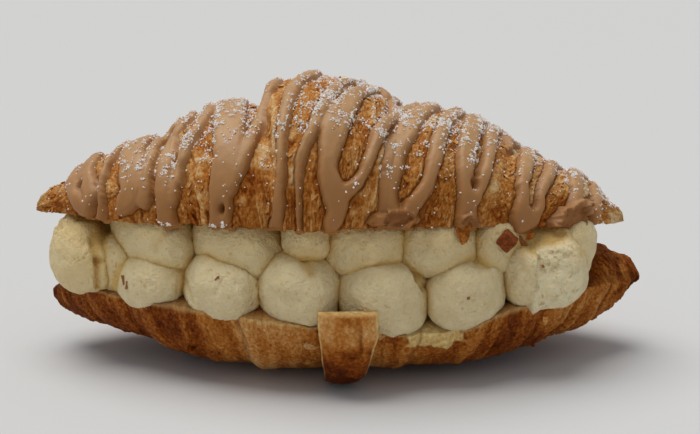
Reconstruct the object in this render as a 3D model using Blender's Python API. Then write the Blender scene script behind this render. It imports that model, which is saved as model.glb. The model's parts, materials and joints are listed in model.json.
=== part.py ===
"""A filled croissant: a split, rolled pastry with two rows of piped cream between its halves.

The frame has +X along the croissant to the right, -Y towards the side that is served to the front, +Z up,
and its origin under the middle of the whole, on the surface that it rests on. Lengths are in metres.
"""

import math

import bmesh
import bpy

MM = 0.001

# ---- driving dimensions --------------------------------------------------------------------------

# The middle of the finished box, in the frame that the numbers below are drawn in.
BOX_MIDDLE_X = 0.25 * MM
BOX_MIDDLE_Y = -3.04 * MM

# Gap that is left between one piece and the next.
GAP = 0.35 * MM

# Upper half: its tips, its half width and the height of its smooth dome over the cut.
TOP_LEFT_TIP = -93.5 * MM
TOP_RIGHT_TIP = 88.0 * MM
TOP_HALF_WIDTH = 35.5 * MM
TOP_DOME = 31.0 * MM
TOP_MIDDLE_Y = -1.0 * MM
TOP_CUT_LINE = [(-93.5, 43.2), (-70.0, 44.6), (-33.0, 47.0), (28.0, 47.0), (64.5, 43.4), (88.0, 40.4)]

# Lower half: its tips, its half width, and how its rim and its belly run along its length.
BASE_LEFT_TIP = -89.5 * MM
BASE_RIGHT_TIP = 94.0 * MM
BASE_HALF_WIDTH = 41.5 * MM
BASE_MIDDLE_Y = -1.0 * MM
RIM_LINE = [(-89.5, 18.2), (-67.0, 21.6), (-40.0, 21.4), (-11.0, 20.0), (20.0, 17.2), (36.0, 17.2),
            (50.0, 19.2), (66.0, 21.2), (74.0, 23.0), (80.0, 26.4), (94.0, 24.2)]
BELLY_LINE = [(-89.5, 16.0), (-84.0, 11.2), (-68.0, 8.0), (-43.0, 1.6), (-25.0, -0.4), (0.0, -0.5),
              (25.0, -0.5), (46.0, 1.4), (65.0, 5.4), (76.0, 8.6), (85.0, 14.7), (94.0, 21.6)]
CUT_DISH = 1.0 * MM
UNCUT_FROM = 74.0 * MM
UNCUT_DOME = 3.6 * MM

# How far both tips swing back from the middle, how blunt the tips are, and how round the sections are.
TIP_SWING = 6.0 * MM
TIP_THICKNESS = 1.4 * MM
SECTION_POWER = 2.15
BELLY_POWER_MIDDLE = 1.9
BELLY_POWER_SIDES = 2.5
BELLY_TUCK = 26.0 * MM
PLAN_POWER = 2.25
TIP_POWER = 0.88

# Turns of the rolled dough: where each starts and ends along X, the height of the crust there, and its swell.
TURNS = [
    (-93.5, -84.0, 0.6, 8.5, 1.6),
    (-84.0, -68.5, 9.0, 14.6, 2.0),
    (-68.5, -51.0, 15.6, 19.0, 1.8),
    (-51.0, -22.0, 21.4, 28.6, 3.0),
    (-22.0, 16.5, 34.2, 30.8, 5.0),
    (16.5, 54.0, 27.6, 18.2, 3.0),
    (54.0, 66.5, 16.8, 13.0, 1.5),
    (66.5, 78.5, 12.6, 8.6, 1.5),
    (78.5, 88.0, 7.4, 0.6, 0.9),
]
SWELL_POWER = 0.7
TURN_SLANT = 0.28
SLANT_FADE_POWER = 3
BASE_TURN_RELIEF = 0.35

# The rolled dough's tail, a tongue over the front of the lower half.
TAIL_MIDDLE_X = 2.9 * MM
TAIL_TOP_WIDTH = 16.8 * MM
TAIL_END_WIDTH = 9.6 * MM
TAIL_LINE = [(-49.0, 25.4), (-49.4, 19.0), (-48.8, 15.0), (-46.8, 9.6), (-43.2, 5.0), (-38.0, 1.3)]
TAIL_THICKNESS = 3.0 * MM
TAIL_ROOT = 10.0 * MM
TAIL_FREE_ABOVE = 17.0 * MM
TAIL_NARROWING = 1.4
TAIL_CROWN = 0.9 * MM
TAIL_EDGE_ROUNDING = 0.6 * MM

# Piped cream: the middle X and Z of each swirl, its half width and half height before it is pressed, its
# lean in degrees, and how far its front end stands out past the rim of the lower half, in millimetres.
CREAM = {
    "cream_left_end": (-77.0, 32.2, 11.2, 13.4, 0, 8.5),
    "cream_left_fold": (-67.6, 31.0, 5.0, 11.8, 8, 3.0),
    "cream_low_1": (-55.8, 28.8, 14.0, 9.8, 6, 3.0),
    "cream_low_2": (-33.4, 28.0, 13.4, 10.4, -4, 3.0),
    "cream_low_3": (-10.9, 28.6, 13.2, 12.4, 0, 2.6),
    "cream_low_4": (13.2, 26.8, 14.6, 13.0, -8, 3.2),
    "cream_low_5": (36.6, 26.4, 13.4, 12.4, 6, 3.4),
    "cream_right_end": (62.4, 32.0, 16.8, 14.4, 0, 6.0),
    "cream_high_1": (-53.0, 41.0, 15.2, 10.4, -18, -0.5),
    "cream_high_2": (-27.4, 40.6, 15.2, 11.0, -18, -1.0),
    "cream_high_3": (-8.4, 43.0, 8.6, 7.6, 10, -1.5),
    "cream_high_4": (6.8, 41.0, 13.6, 9.8, 4, -0.5),
    "cream_high_5": (29.4, 40.4, 13.4, 10.0, -2, -1.0),
    "cream_high_6": (47.2, 40.2, 9.4, 9.2, 0, -0.5),
    "cream_right_swirl": (69.6, 36.8, 8.2, 7.6, -25, 4.0),
}
LOWER_ROW = [name for name in CREAM if "high" not in name]
CREAM_CAP = 10.0 * MM
CREAM_CAP_POWER = 2.2
REAR_PROUD_SHARE = 0.5
CREAM_SOFTNESS = 11.0
CREAM_SIDES = 16
CAP_RINGS = (0.05, 0.25, 1.0)

# A cube of caramel sponge that is half sunk in one swirl, standing on a corner.
CUBE_SIDE = 4.6 * MM
CUBE_PLACE = (47.7 * MM, -32.7 * MM, 41.9 * MM)
CUBE_TURN = (math.radians(8), math.radians(43), math.radians(-6))

# Facets: cross sections in each turn of dough, and points round each section.
TURN_STATIONS = (0.03, 0.2, 0.4, 0.6, 0.8, 0.97)
ARC_STEPS = 15
CUT_STEPS = (0.08, 0.35, 0.65, 0.92)


# ---- curves --------------------------------------------------------------------------------------


def along(line, x):
    """The height in metres over x of a line drawn through points in millimetres, smooth between them."""
    x_mm = min(max(x / MM, line[0][0]), line[-1][0])
    for (x0, z0), (x1, z1) in zip(line, line[1:]):
        if x_mm <= x1:
            part = (x_mm - x0) / (x1 - x0)
            slope0 = slope_at(line, x0)
            slope1 = slope_at(line, x1)
            return MM * hermite(part, z0, z1, slope0 * (x1 - x0), slope1 * (x1 - x0))
    return MM * line[-1][1]


def slope_at(line, x_mm):
    """The slope of the line at one of its own points, from that point's neighbours."""
    index = [x for x, _ in line].index(x_mm)
    before = line[max(index - 1, 0)]
    after = line[min(index + 1, len(line) - 1)]
    return (after[1] - before[1]) / (after[0] - before[0])


def hermite(part, start, end, start_slope, end_slope):
    p2 = part * part
    p3 = p2 * part
    return (
        (2 * p3 - 3 * p2 + 1) * start
        + (p3 - 2 * p2 + part) * start_slope
        + (3 * p2 - 2 * p3) * end
        + (p3 - p2) * end_slope
    )


def power(value, exponent):
    """value to a power, keeping its sign."""
    return math.copysign(abs(value) ** exponent, value)


def reach(x, left, right):
    """How far x is from the middle towards its tip, from 0 to 1."""
    return min(abs(x / (left if x < 0 else right)), 1.0)


def taper(x, left, right):
    """The share of the full section that is left at x: 1 in the middle and 0 at both tips."""
    return (1 - reach(x, left, right) ** PLAN_POWER) ** TIP_POWER


def swing(x):
    """How far the middle of a section lies back at x, because the tips curve away."""
    return TIP_SWING * (x / BASE_RIGHT_TIP) ** 2


def turn_height(u):
    """The height over the cut of the crust's crest at u, turn by turn."""
    for start, end, start_height, end_height, swell in TURNS:
        if u / MM <= end or end == TURNS[-1][1]:
            part = min(max((u / MM - start) / (end - start), 0.0), 1.0)
            bulge = swell * math.sin(math.pi * part) ** SWELL_POWER
            return MM * (start_height + part * (end_height - start_height) + bulge)


def turn_relief(u):
    """How far the turn at u stands out from the smooth dome."""
    dome = TOP_DOME * taper(u, TOP_LEFT_TIP, TOP_RIGHT_TIP)
    return turn_height(u) - dome


def slanted(u, turned, left, right):
    """X of the dough at u, after it is rolled by turned quarter turns from the crest towards the front."""
    free = 1 - reach(u, left, right) ** SLANT_FADE_POWER
    return u * (1 - TURN_SLANT * turned * free)


def stations(left, right):
    """The places along the roll of the cross sections, scaled to the tips given."""
    for start, end, *_ in TURNS:
        for part in TURN_STATIONS:
            u = MM * (start + part * (end - start))
            yield u * (left / TOP_LEFT_TIP if u < 0 else right / TOP_RIGHT_TIP)


# ---- meshes --------------------------------------------------------------------------------------


def clear_scene():
    for obj in list(bpy.data.objects):
        bpy.data.objects.remove(obj, do_unlink=True)


def material(name, color, roughness, subsurface=0.0):
    made = bpy.data.materials.new(name)
    made.use_nodes = True
    shader = made.node_tree.nodes["Principled BSDF"]
    shader.inputs["Base Color"].default_value = (*color, 1.0)
    shader.inputs["Roughness"].default_value = roughness
    shader.inputs["Metallic"].default_value = 0.0
    shader.inputs["Subsurface Weight"].default_value = subsurface
    made.diffuse_color = (*color, 1.0)
    return made


def add_object(name, mesh, look):
    mesh.materials.append(look)
    obj = bpy.data.objects.new(name, mesh)
    bpy.context.scene.collection.objects.link(obj)
    return obj


def loft(name, rings, look):
    """A closed solid through rings of the same number of points, its two ends shut by a fan."""
    bm = bmesh.new()
    rows = [[bm.verts.new(point) for point in ring] for ring in rings]
    count = len(rows[0])
    for row, following in zip(rows, rows[1:]):
        for i in range(count):
            j = (i + 1) % count
            bm.faces.new((row[i], row[j], following[j]))
            bm.faces.new((row[i], following[j], following[i]))
    for row in (rows[0], rows[-1]):
        middle = [sum(vert.co[axis] for vert in row) / count for axis in range(3)]
        hub = bm.verts.new(middle)
        for i in range(count):
            bm.faces.new((row[i], row[(i + 1) % count], hub))
    bmesh.ops.recalc_face_normals(bm, faces=bm.faces)
    bmesh.ops.translate(bm, verts=bm.verts, vec=(-BOX_MIDDLE_X, -BOX_MIDDLE_Y, 0))
    mesh = bpy.data.meshes.new(name)
    bm.to_mesh(mesh)
    bm.free()
    mesh.shade_smooth()
    mesh.set_sharp_from_angle(angle=math.radians(40))
    return add_object(name, mesh, look)


def boolean(target, cutter, operation):
    """Joins cutter to target, or cuts it out, and hides the cutter."""
    made = target.modifiers.new(operation.title(), "BOOLEAN")
    made.operation = operation
    made.object = cutter
    cutter.hide_render = True
    cutter.display_type = "WIRE"


# ---- the two halves of pastry --------------------------------------------------------------------


def upper_ring(u):
    """One slanted section of the upper half: over the dome from the front rim to the back, then under it."""
    relief = turn_relief(u)
    ring = []
    for step in range(ARC_STEPS + 1):
        angle = math.pi * step / ARC_STEPS
        x = slanted(u, 1 - 2 * step / ARC_STEPS, TOP_LEFT_TIP, TOP_RIGHT_TIP)
        share = taper(x, TOP_LEFT_TIP, TOP_RIGHT_TIP)
        width = TOP_HALF_WIDTH * share + TIP_THICKNESS + 0.5 * relief
        height = max(TOP_DOME * share + relief, TIP_THICKNESS)
        y = TOP_MIDDLE_Y + swing(x) - width * power(math.cos(angle), 2 / SECTION_POWER)
        z = along(TOP_CUT_LINE, x) + height * math.sin(angle) ** (2 / SECTION_POWER)
        ring.append((x, y, z))
    front, back = ring[0], ring[-1]
    for part in CUT_STEPS:
        x = back[0] + part * (front[0] - back[0])
        y = back[1] + part * (front[1] - back[1])
        ring.append((x, y, along(TOP_CUT_LINE, x)))
    return ring


def make_upper_half(look):
    rings = [upper_ring(u) for u in stations(TOP_LEFT_TIP, TOP_RIGHT_TIP)]
    return loft("upper_half", rings, look)


def base_half_width(x):
    return BASE_HALF_WIDTH * taper(x, BASE_LEFT_TIP, BASE_RIGHT_TIP) + TIP_THICKNESS


def belly_power(x):
    """How full the lower half's section is at x: it tucks in behind the tail."""
    tuck = math.exp(-((x / BELLY_TUCK) ** 2))
    return BELLY_POWER_SIDES + tuck * (BELLY_POWER_MIDDLE - BELLY_POWER_SIDES)


def uncut_rise(x, across):
    """The height of the right tip over its rim, where the knife left it whole. across runs from 0 to 1."""
    if x <= UNCUT_FROM:
        return 0.0
    along_tip = (x - UNCUT_FROM) / (BASE_RIGHT_TIP - UNCUT_FROM)
    rise = math.sin(math.pi * min(along_tip, 1.0) ** 0.5)
    return UNCUT_DOME * rise * math.sin(math.pi * across)


def base_ring(u, margin):
    """One slanted section of the lower half, grown by a margin: under the belly, then back over the cut."""
    scale = TOP_LEFT_TIP / BASE_LEFT_TIP if u < 0 else TOP_RIGHT_TIP / BASE_RIGHT_TIP
    relief = BASE_TURN_RELIEF * turn_relief(u * scale)
    ring = []
    for step in range(ARC_STEPS + 1):
        angle = math.pi * step / ARC_STEPS
        x = slanted(u, 2 * step / ARC_STEPS - 1, BASE_LEFT_TIP, BASE_RIGHT_TIP)
        rim = along(RIM_LINE, x) + margin
        drop = rim - along(BELLY_LINE, x) + relief + margin
        width = base_half_width(x) + relief + margin
        y = BASE_MIDDLE_Y + swing(x) - width * power(math.cos(angle), 2 / belly_power(x))
        z = max(rim - drop * math.sin(angle) ** (2 / belly_power(x)), -margin)
        ring.append((x, y, z))
    front, back = ring[0], ring[-1]
    for part in CUT_STEPS:
        x = back[0] + part * (front[0] - back[0])
        y = back[1] + part * (front[1] - back[1])
        ring.append((x, y, along(RIM_LINE, x) + uncut_rise(x, part) - dish(x) + margin))
    return ring


def dish(x):
    """How far the cut crumb lies below the rim at x."""
    return CUT_DISH * taper(x, BASE_LEFT_TIP, UNCUT_FROM)


def make_lower_half(name, look, margin=0.0):
    rings = [base_ring(u, margin) for u in stations(BASE_LEFT_TIP, BASE_RIGHT_TIP)]
    return loft(name, rings, look)


def make_tail(name, look, margin=0.0):
    """The tongue of dough, grown by a margin, from its proud top edge down the front to its narrow end."""
    rings = []
    last = len(TAIL_LINE) - 1
    for index, (y_mm, z_mm) in enumerate(TAIL_LINE):
        narrowed = (index / last) ** TAIL_NARROWING
        half = 0.5 * (TAIL_TOP_WIDTH + narrowed * (TAIL_END_WIDTH - TAIL_TOP_WIDTH)) + margin
        depth = margin + (TAIL_THICKNESS if z_mm * MM > TAIL_FREE_ABOVE else TAIL_ROOT)
        height = z_mm * MM + (margin if index == 0 else 0.0)
        front = [
            (-half, TAIL_EDGE_ROUNDING),
            (-0.6 * half, -0.5 * TAIL_CROWN),
            (0.0, -TAIL_CROWN),
            (0.6 * half, -0.5 * TAIL_CROWN),
            (half, TAIL_EDGE_ROUNDING),
        ]
        rear = [(0.9 * half, depth), (-0.9 * half, depth)]
        rings.append([(TAIL_MIDDLE_X + dx, y_mm * MM + dy, height) for dx, dy in front + rear])
    return loft(name, rings, look)


# ---- the cream -----------------------------------------------------------------------------------


def outline_radius(swirl, angle):
    """The distance from a swirl's middle to its free outline, a leaning ellipse, in millimetres."""
    _, _, half_width, half_height, lean, _ = swirl
    turned = angle - math.radians(lean)
    return 1 / math.hypot(math.cos(turned) / half_width, math.sin(turned) / half_height)


def support(swirl, angle):
    """How far a swirl's free outline reaches in a direction, in millimetres."""
    _, _, half_width, half_height, lean, _ = swirl
    turned = angle - math.radians(lean)
    return math.hypot(half_width * math.cos(turned), half_height * math.sin(turned))


def pressed_faces(name):
    """The flat faces that a swirl is pressed against, each as its outward angle and its distance."""
    swirl = CREAM[name]
    x, z = swirl[:2]
    faces = []
    for other_name, other in CREAM.items():
        if other_name == name:
            continue
        away = math.hypot(other[0] - x, other[1] - z)
        angle = math.atan2(other[1] - z, other[0] - x)
        mine = support(swirl, angle)
        theirs = support(other, angle + math.pi)
        if mine + theirs > away - GAP / MM:
            faces.append((angle, away * mine / (mine + theirs) - 0.5 * GAP / MM))
    faces.append(upper_crust_face(swirl))
    return faces


def upper_crust_face(swirl):
    """The plane that parts a swirl from the cut of the upper half, just under the cut at its lowest."""
    x, z, half_width = swirl[:3]
    shifts = (0, -half_width, half_width)
    level, before, after = (along(TOP_CUT_LINE, (x + shift) * MM) / MM for shift in shifts)
    slope = (after - before) / (2 * half_width)
    sag = max(level - 0.5 * (before + after), 0.0)
    distance = (level - sag - z) * math.cos(math.atan(slope)) - GAP / MM
    return math.atan2(1, -slope), distance


def swirl_radius(name, faces, angle):
    """The distance from a swirl's middle to its pressed outline, with soft corners, in millimetres."""
    total = outline_radius(CREAM[name], angle) ** -CREAM_SOFTNESS
    for face_angle, distance in faces:
        facing = math.cos(angle - face_angle)
        if facing > 0:
            total += (facing / distance) ** CREAM_SOFTNESS
    return total ** (-1 / CREAM_SOFTNESS)


def make_swirl(name, look):
    """A length of piped cream from front to back, with a round end at each."""
    x, z = CREAM[name][:2]
    front, back = swirl_ends(name)
    faces = pressed_faces(name)
    angles = [2 * math.pi * side / CREAM_SIDES for side in range(CREAM_SIDES)]
    radii = [MM * swirl_radius(name, faces, angle) for angle in angles]
    near = [(front + CREAM_CAP * part, cap_share(part)) for part in CAP_RINGS]
    far = [(back - CREAM_CAP * part, cap_share(part)) for part in reversed(CAP_RINGS)]
    rings = []
    for y, share in near + far:
        ring = []
        for angle, radius in zip(angles, radii):
            reach_out = share * radius
            ring.append((x * MM + reach_out * math.cos(angle), y, z * MM + reach_out * math.sin(angle)))
        rings.append(ring)
    return loft(name, rings, look)


def swirl_ends(name):
    """Y of a swirl's foremost and rearmost points, which follow the rim of the lower half."""
    x = CREAM[name][0] * MM
    proud = CREAM[name][5] * MM
    middle = BASE_MIDDLE_Y + swing(x)
    half = base_half_width(x)
    return middle - half - proud, middle + half + REAR_PROUD_SHARE * proud


def cap_share(part):
    """The share of the full section at a part of the cap's depth."""
    return (1 - (1 - part) ** CREAM_CAP_POWER) ** (1 / CREAM_CAP_POWER)


def make_cube(name, side, look):
    mesh = bpy.data.meshes.new(name)
    bm = bmesh.new()
    bmesh.ops.create_cube(bm, size=side)
    bm.to_mesh(mesh)
    bm.free()
    cube = add_object(name, mesh, look)
    cube.location = (CUBE_PLACE[0] - BOX_MIDDLE_X, CUBE_PLACE[1] - BOX_MIDDLE_Y, CUBE_PLACE[2])
    cube.rotation_euler = CUBE_TURN
    return cube


# ---- the whole -----------------------------------------------------------------------------------


def main():
    clear_scene()
    crust = material("baked_crust", (0.42, 0.19, 0.06), 0.55)
    cream = material("ivory_cream", (0.78, 0.70, 0.48), 0.6, subsurface=0.1)
    caramel = material("caramel_sponge", (0.20, 0.07, 0.02), 0.45)

    make_upper_half(crust)
    lower = make_lower_half("lower_half", crust)
    boolean(lower, make_tail("tail", crust), "UNION")

    swirls = {name: make_swirl(name, cream) for name in CREAM}
    crust_room = make_lower_half("crust_room", crust, GAP)
    tail_room = make_tail("tail_room", crust, GAP)
    for name in LOWER_ROW:
        boolean(swirls[name], crust_room, "DIFFERENCE")
    for name in ("cream_low_3", "cream_low_4"):
        boolean(swirls[name], tail_room, "DIFFERENCE")

    make_cube("caramel_cube", CUBE_SIDE, caramel)
    pocket = make_cube("caramel_pocket", CUBE_SIDE + 2 * GAP, caramel)
    boolean(swirls["cream_high_6"], pocket, "DIFFERENCE")


main()
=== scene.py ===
"""The looks of a filled croissant: flaky crust, piped cream, bands of icing, caramel and icing sugar.

Shapes are worked out in millimetres, in the same drawing frame as the solids, and every mesh is moved to
the middle of the box and turned into metres when it is made. +X runs along the croissant to the right, -Y
is the side that is served to the front, and +Z is up. Places on a rolled half of the dough are given as
(u, turned): u runs along the roll, and turned is how far round it the place lies. On the upper half turned
is 0 at the crest, 1 at the front rim and -1 at the back rim. On the lower half it is -1 at the front rim, 0
underneath and 1 at the back rim. Seeds only tell one pattern of noise from another.
"""

import json
import math

import bpy
import numpy as np
from mathutils import Euler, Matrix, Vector

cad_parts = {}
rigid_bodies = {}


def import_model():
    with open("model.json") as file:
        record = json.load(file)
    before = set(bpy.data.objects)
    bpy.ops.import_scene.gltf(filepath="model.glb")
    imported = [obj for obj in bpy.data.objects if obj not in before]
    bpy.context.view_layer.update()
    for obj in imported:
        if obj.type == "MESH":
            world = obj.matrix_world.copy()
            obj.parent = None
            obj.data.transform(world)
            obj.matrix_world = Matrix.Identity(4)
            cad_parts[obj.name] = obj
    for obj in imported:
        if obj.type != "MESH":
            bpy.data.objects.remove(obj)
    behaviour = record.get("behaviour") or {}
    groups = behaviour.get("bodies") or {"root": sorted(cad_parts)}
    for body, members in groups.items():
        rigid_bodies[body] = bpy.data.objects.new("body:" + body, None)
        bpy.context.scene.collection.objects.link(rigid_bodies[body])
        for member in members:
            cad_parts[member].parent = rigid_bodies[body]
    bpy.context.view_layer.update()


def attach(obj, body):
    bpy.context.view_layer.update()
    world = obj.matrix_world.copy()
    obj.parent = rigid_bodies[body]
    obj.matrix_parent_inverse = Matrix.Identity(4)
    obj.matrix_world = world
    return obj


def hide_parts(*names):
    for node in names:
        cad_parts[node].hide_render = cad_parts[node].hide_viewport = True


MM = 0.001
# A turn off the axes, so that noise over it shows no squares.
CROOKED = np.array([[0.74, -0.51, 0.44], [0.38, 0.86, 0.35], [-0.56, -0.09, 0.83]])
BOX_MIDDLE = np.array([0.25, -3.04, 0.0])

# ---- the shape of the solids, which the finished surfaces follow ---------------------------------

TOP_TIPS = (-93.5, 88.0)
TOP_HALF_WIDTH = 38.2
TOP_DOME = 31.0
TOP_CUT_LINE = [(-93.5, 43.6), (-82.0, 45.2), (-70.0, 45.4), (-33.0, 47.0), (28.0, 47.0), (64.5, 43.4),
                (88.0, 40.4)]

BASE_TIPS = (-89.5, 94.0)
BASE_HALF_WIDTH = 41.5
RIM_LINE = [(-89.5, 18.6), (-80.0, 22.2), (-67.0, 23.2), (-40.0, 23.0), (-25.0, 22.2), (-11.0, 20.8),
            (8.0, 18.6), (20.0, 17.4), (33.0, 17.4), (40.0, 18.8), (46.0, 21.0), (56.0, 22.7), (66.0, 23.0),
            (74.0, 23.4), (80.0, 23.8), (87.0, 22.8), (94.0, 22.4)]
BELLY_LINE = [(-89.5, 16.0), (-84.0, 11.2), (-68.0, 8.0), (-43.0, 1.6), (-25.0, -0.4), (0.0, -0.5),
              (25.0, -0.5), (46.0, 1.4), (65.0, 5.4), (76.0, 8.6), (85.0, 14.7), (94.0, 21.6)]
CUT_SWELL = 2.8
UNCUT_FROM = 74.0
UNCUT_RISE = [(74.0, 0.5), (77.5, 5.2), (82.5, 7.6), (86.4, 6.2), (89.0, 5.8), (92.0, 4.4), (94.0, 1.0)]

# The middle line, how far it bends back at the tips, and the powers that shape the sections and the plan.
MIDDLE_Y = -1.0
TIP_SWING = 6.0
TIP_THICKNESS = 1.4
SECTION_POWER = 2.15
BELLY_POWER_MIDDLE = 1.9
BELLY_POWER_SIDES = 2.5
BELLY_TUCK = 26.0
PLAN_POWER = 2.25
TIP_POWER = 0.88

# Turns of the rolled dough: where each starts and ends along X, the crust's height there, and its swell.
TURNS = [
    (-93.5, -84.0, 2.4, 8.5, 1.6),
    (-84.0, -68.5, 9.0, 14.6, 2.0),
    (-68.5, -51.0, 15.6, 19.0, 1.8),
    (-51.0, -22.0, 21.4, 28.6, 3.0),
    (-22.0, 16.5, 34.2, 30.8, 5.0),
    (16.5, 54.0, 27.6, 18.2, 3.0),
    (54.0, 66.5, 16.8, 13.0, 1.5),
    (66.5, 78.5, 12.6, 8.6, 1.5),
    (78.5, 88.0, 7.4, 1.9, 0.4),
]
SWELL_POWER = 0.7
CREST_LIFT = [(-93.5, -0.6), (-88.0, -1.2), (-82.0, -2.0), (-77.0, -0.9), (-72.0, 0.5), (-62.0, 0.2),
              (-54.0, 0.2), (-46.0, 0.6), (-38.0, 0.9), (-28.0, 0.3), (-18.0, -0.3), (-8.0, 0.3),
              (10.0, -0.7), (20.0, 0.3), (32.0, 1.4), (46.0, 1.5), (56.0, 0.6), (66.0, 0.3), (88.0, 0.3)]
TURN_SLANT = 0.28
SLANT_FADE_POWER = 3
BASE_TURN_RELIEF = 0.28
EDGE_WEAR = 1.5
# How far the edges of the turns stray along the roll, and how long each stray is.
EDGE_STRAY = 0.9
EDGE_STRAY_SIZE = 2.5
# Half the way round each half's outside, and the way over the cut, along which the crust's pattern runs.
TOP_GIRTH = 55.0
BASE_GIRTH = 60.0
CUT_GIRTH = 40.0
# How far the icing fills the foot of each step between two turns: steps over the roll, reach and softness.
FILL_STEPS = 1200
FILL_REACH = 40
FILL_SOFTNESS = 13

# The rolled dough's tail, a tongue over the front of the lower half: (y, z) down its face.
TAIL_MIDDLE_X = 2.9
TAIL_WIDTHS = (16.6, 9.2)
TAIL_BEND = -2.1
TAIL_LINE = [(-49.0, 25.4), (-49.4, 19.0), (-48.8, 15.0), (-46.8, 9.6), (-43.2, 5.0), (-38.0, 1.3)]
TAIL_THICKNESS = 3.0
TAIL_THICKENING = 1.6
TAIL_NARROWING = 1.4
TAIL_CROWN = 1.3
TAIL_AROUND = 120
TAIL_STEPS = 22
# How square its section is across and through.
TAIL_SQUARE = 6
TAIL_ROUND = 3

# Piped cream: the middle X and Z of each swirl, its half width and half height before it is pressed, its
# lean in degrees, and how far its front end stands out past the rim of the lower half.
CREAM = {
    "cream_left_end": (-76.8, 32.8, 10.9, 11.2, 0, 8.0),
    "cream_left_fold": (-66.2, 31.6, 6.8, 8.4, 8, 0.0),
    "cream_low_1": (-55.8, 28.4, 12.5, 8.0, 6, 2.2),
    "cream_low_2": (-33.2, 28.8, 12.3, 9.3, -4, 3.0),
    "cream_low_3": (-11.0, 29.2, 12.5, 10.8, 0, 3.2),
    "cream_low_4": (12.8, 27.6, 13.8, 10.9, -8, 3.8),
    "cream_low_5": (36.6, 27.6, 11.7, 10.0, 6, 3.6),
    "cream_right_end": (60.0, 32.4, 13.8, 11.8, 0, 6.4),
    "cream_high_1": (-54.6, 40.6, 14.4, 9.6, -18, -1.4),
    "cream_high_2": (-28.0, 41.2, 14.6, 10.2, -18, -2.2),
    "cream_high_3": (-8.8, 43.6, 7.7, 7.2, 10, -2.8),
    "cream_high_4": (8.0, 41.8, 13.4, 9.4, 4, -2.4),
    "cream_high_5": (28.9, 41.0, 13.3, 9.8, -2, -2.0),
    "cream_high_6": (47.2, 40.0, 8.6, 9.0, 0, -2.4),
    "cream_right_swirl": (70.2, 36.4, 7.0, 7.8, -25, 3.0),
}
# The rounded ends: how long they are over the swirl's mean half size, how round, how much shorter below, and
# how square the underside is.
CREAM_CAP = 1.2
CREAM_CAP_POWER = 2.0
CREAM_SAG = 0.55
CREAM_SQUARE = 0.8
CREAM_AROUND = 120
# Rings over each cap, crowded towards the very end, and between the two caps.
CREAM_CAP_RINGS = 40
CREAM_CAP_START = 0.03
CREAM_CAP_CROWDING = 1.8
CREAM_MIDDLE_RINGS = 12
# Burst bubbles in each swirl.
CREAM_PITS = 44
PIT_SIZES = (0.2, 0.5)
SWIRL_SEED = 200
SWIRL_SEED_STEP = 7
# How closely the ends of a swirl follow the rims, where that is less than all the way.
RIM_FOLLOW = {
    "cream_right_end": 0.4, "cream_left_end": 0.5, "cream_left_fold": 0.7, "cream_right_swirl": 0.6,
}
# How far the back end stands out past the rim, over the front end, and how sharply the cut flattens a swirl.
REAR_PROUD_SHARE = 0.5
CREAM_SOFTNESS = 11.0
# How far the cream swells past the cut that presses it down.
CREAM_TOP_SWELL = 1.2
# The broken face of the swirl at the right end: where it starts along X and how that leans, how deep it is,
# how fast it falls back along X and up Z, and how rough its crumb and its holes are. Then the height from
# which the top of the swirl falls back as a hollow, with its slope.
TORN_FROM = 56.2
TORN_LEAN = 0.08
TORN_DEPTH = 1.9
TORN_SLOPE = 0.2
TORN_RISE = 0.3
TORN_CRUMB = 0.6
TORN_HOLES = 0.7
HOLLOW_FROM = 36.8
HOLLOW_SLOPE = 2.4
HOLLOW_SOFTNESS = 0.5
# The broken top of the swirl at the left end: the heights it starts between, where along X it goes over from
# smooth to rough, and how deep the smooth part is pressed in.
SNAPPED_HEIGHTS = (37.0, 42.0)
SNAPPED_X = (-77.0, -80.0)
SNAPPED_DEPTH = 0.8
# Creases in the fronts of the swirls, each a line from (x, z) to (x, z), its depth, below 0 for a ridge, and
# its half width.
CREASES = {
    "cream_left_end": [(-69.5, 46.0, -68.5, 39.0, 1.6, 2.6), (-72.0, 40.0, -70.4, 33.0, 1.4, 1.3),
                       (-70.4, 33.0, -70.8, 24.0, 1.8, 0.9)],
    "cream_high_1": [(-47.5, 47.0, -52.0, 38.5, 0.8, 1.6)],
    "cream_high_2": [(-37.0, 37.5, -30.5, 33.5, 0.7, 1.0)],
    "cream_low_2": [(-34.0, 29.0, -32.0, 33.0, 0.5, 0.7), (-44.4, 30.0, -41.4, 24.6, 0.9, 0.9)],
    "cream_low_3": [(-9.5, 39.0, -7.0, 36.0, 1.4, 2.2)],
    "cream_low_4": [(20.5, 38.0, 22.6, 33.0, 1.6, 1.1), (22.6, 33.0, 25.0, 29.5, 1.8, 0.9)],
    "cream_low_5": [(40.0, 22.0, 44.0, 26.0, 0.6, 0.7), (39.0, 37.0, 43.0, 35.0, 1.0, 1.0)],
    "cream_right_end": [(53.5, 42.0, 52.0, 34.0, 0.7, 1.4), (57.0, 41.0, 56.2, 24.0, -0.5, 0.8),
                        (56.2, 23.0, 56.6, 20.6, -1.7, 1.3)],
}

# Specks and slivers of caramel in the cream: the swirl, X and Z, the three sides, the turn in degrees and
# how pale it is.
CARAMEL_BITS = [
    ("cream_high_6", 52.6, 40.7, (3.6, 1.5, 0.7), 50, 0.45),
    ("cream_high_6", 53.2, 43.6, (2.4, 1.2, 0.8), 20, 0.1),
    ("cream_low_1", -62.4, 28.6, (3.0, 0.9, 0.5), 80, 0.6),
    ("cream_low_1", -61.2, 27.4, (2.4, 0.8, 0.4), 100, 0.7),
    ("cream_low_2", -33.6, 33.0, (1.5, 0.8, 0.5), -35, 0.7),
    ("cream_low_5", 36.4, 27.8, (0.8, 0.8, 0.5), 80, 0.7),
    ("cream_right_end", 58.0, 35.0, (0.9, 0.7, 0.5), 60, 0.8),
]
CUBE_SIDE = 4.6
CUBE_PLACE = (47.9, -32.1, 41.9)
CUBE_TURN = (math.radians(8), math.radians(43), math.radians(-6))
BOX_POINTS = 15

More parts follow.
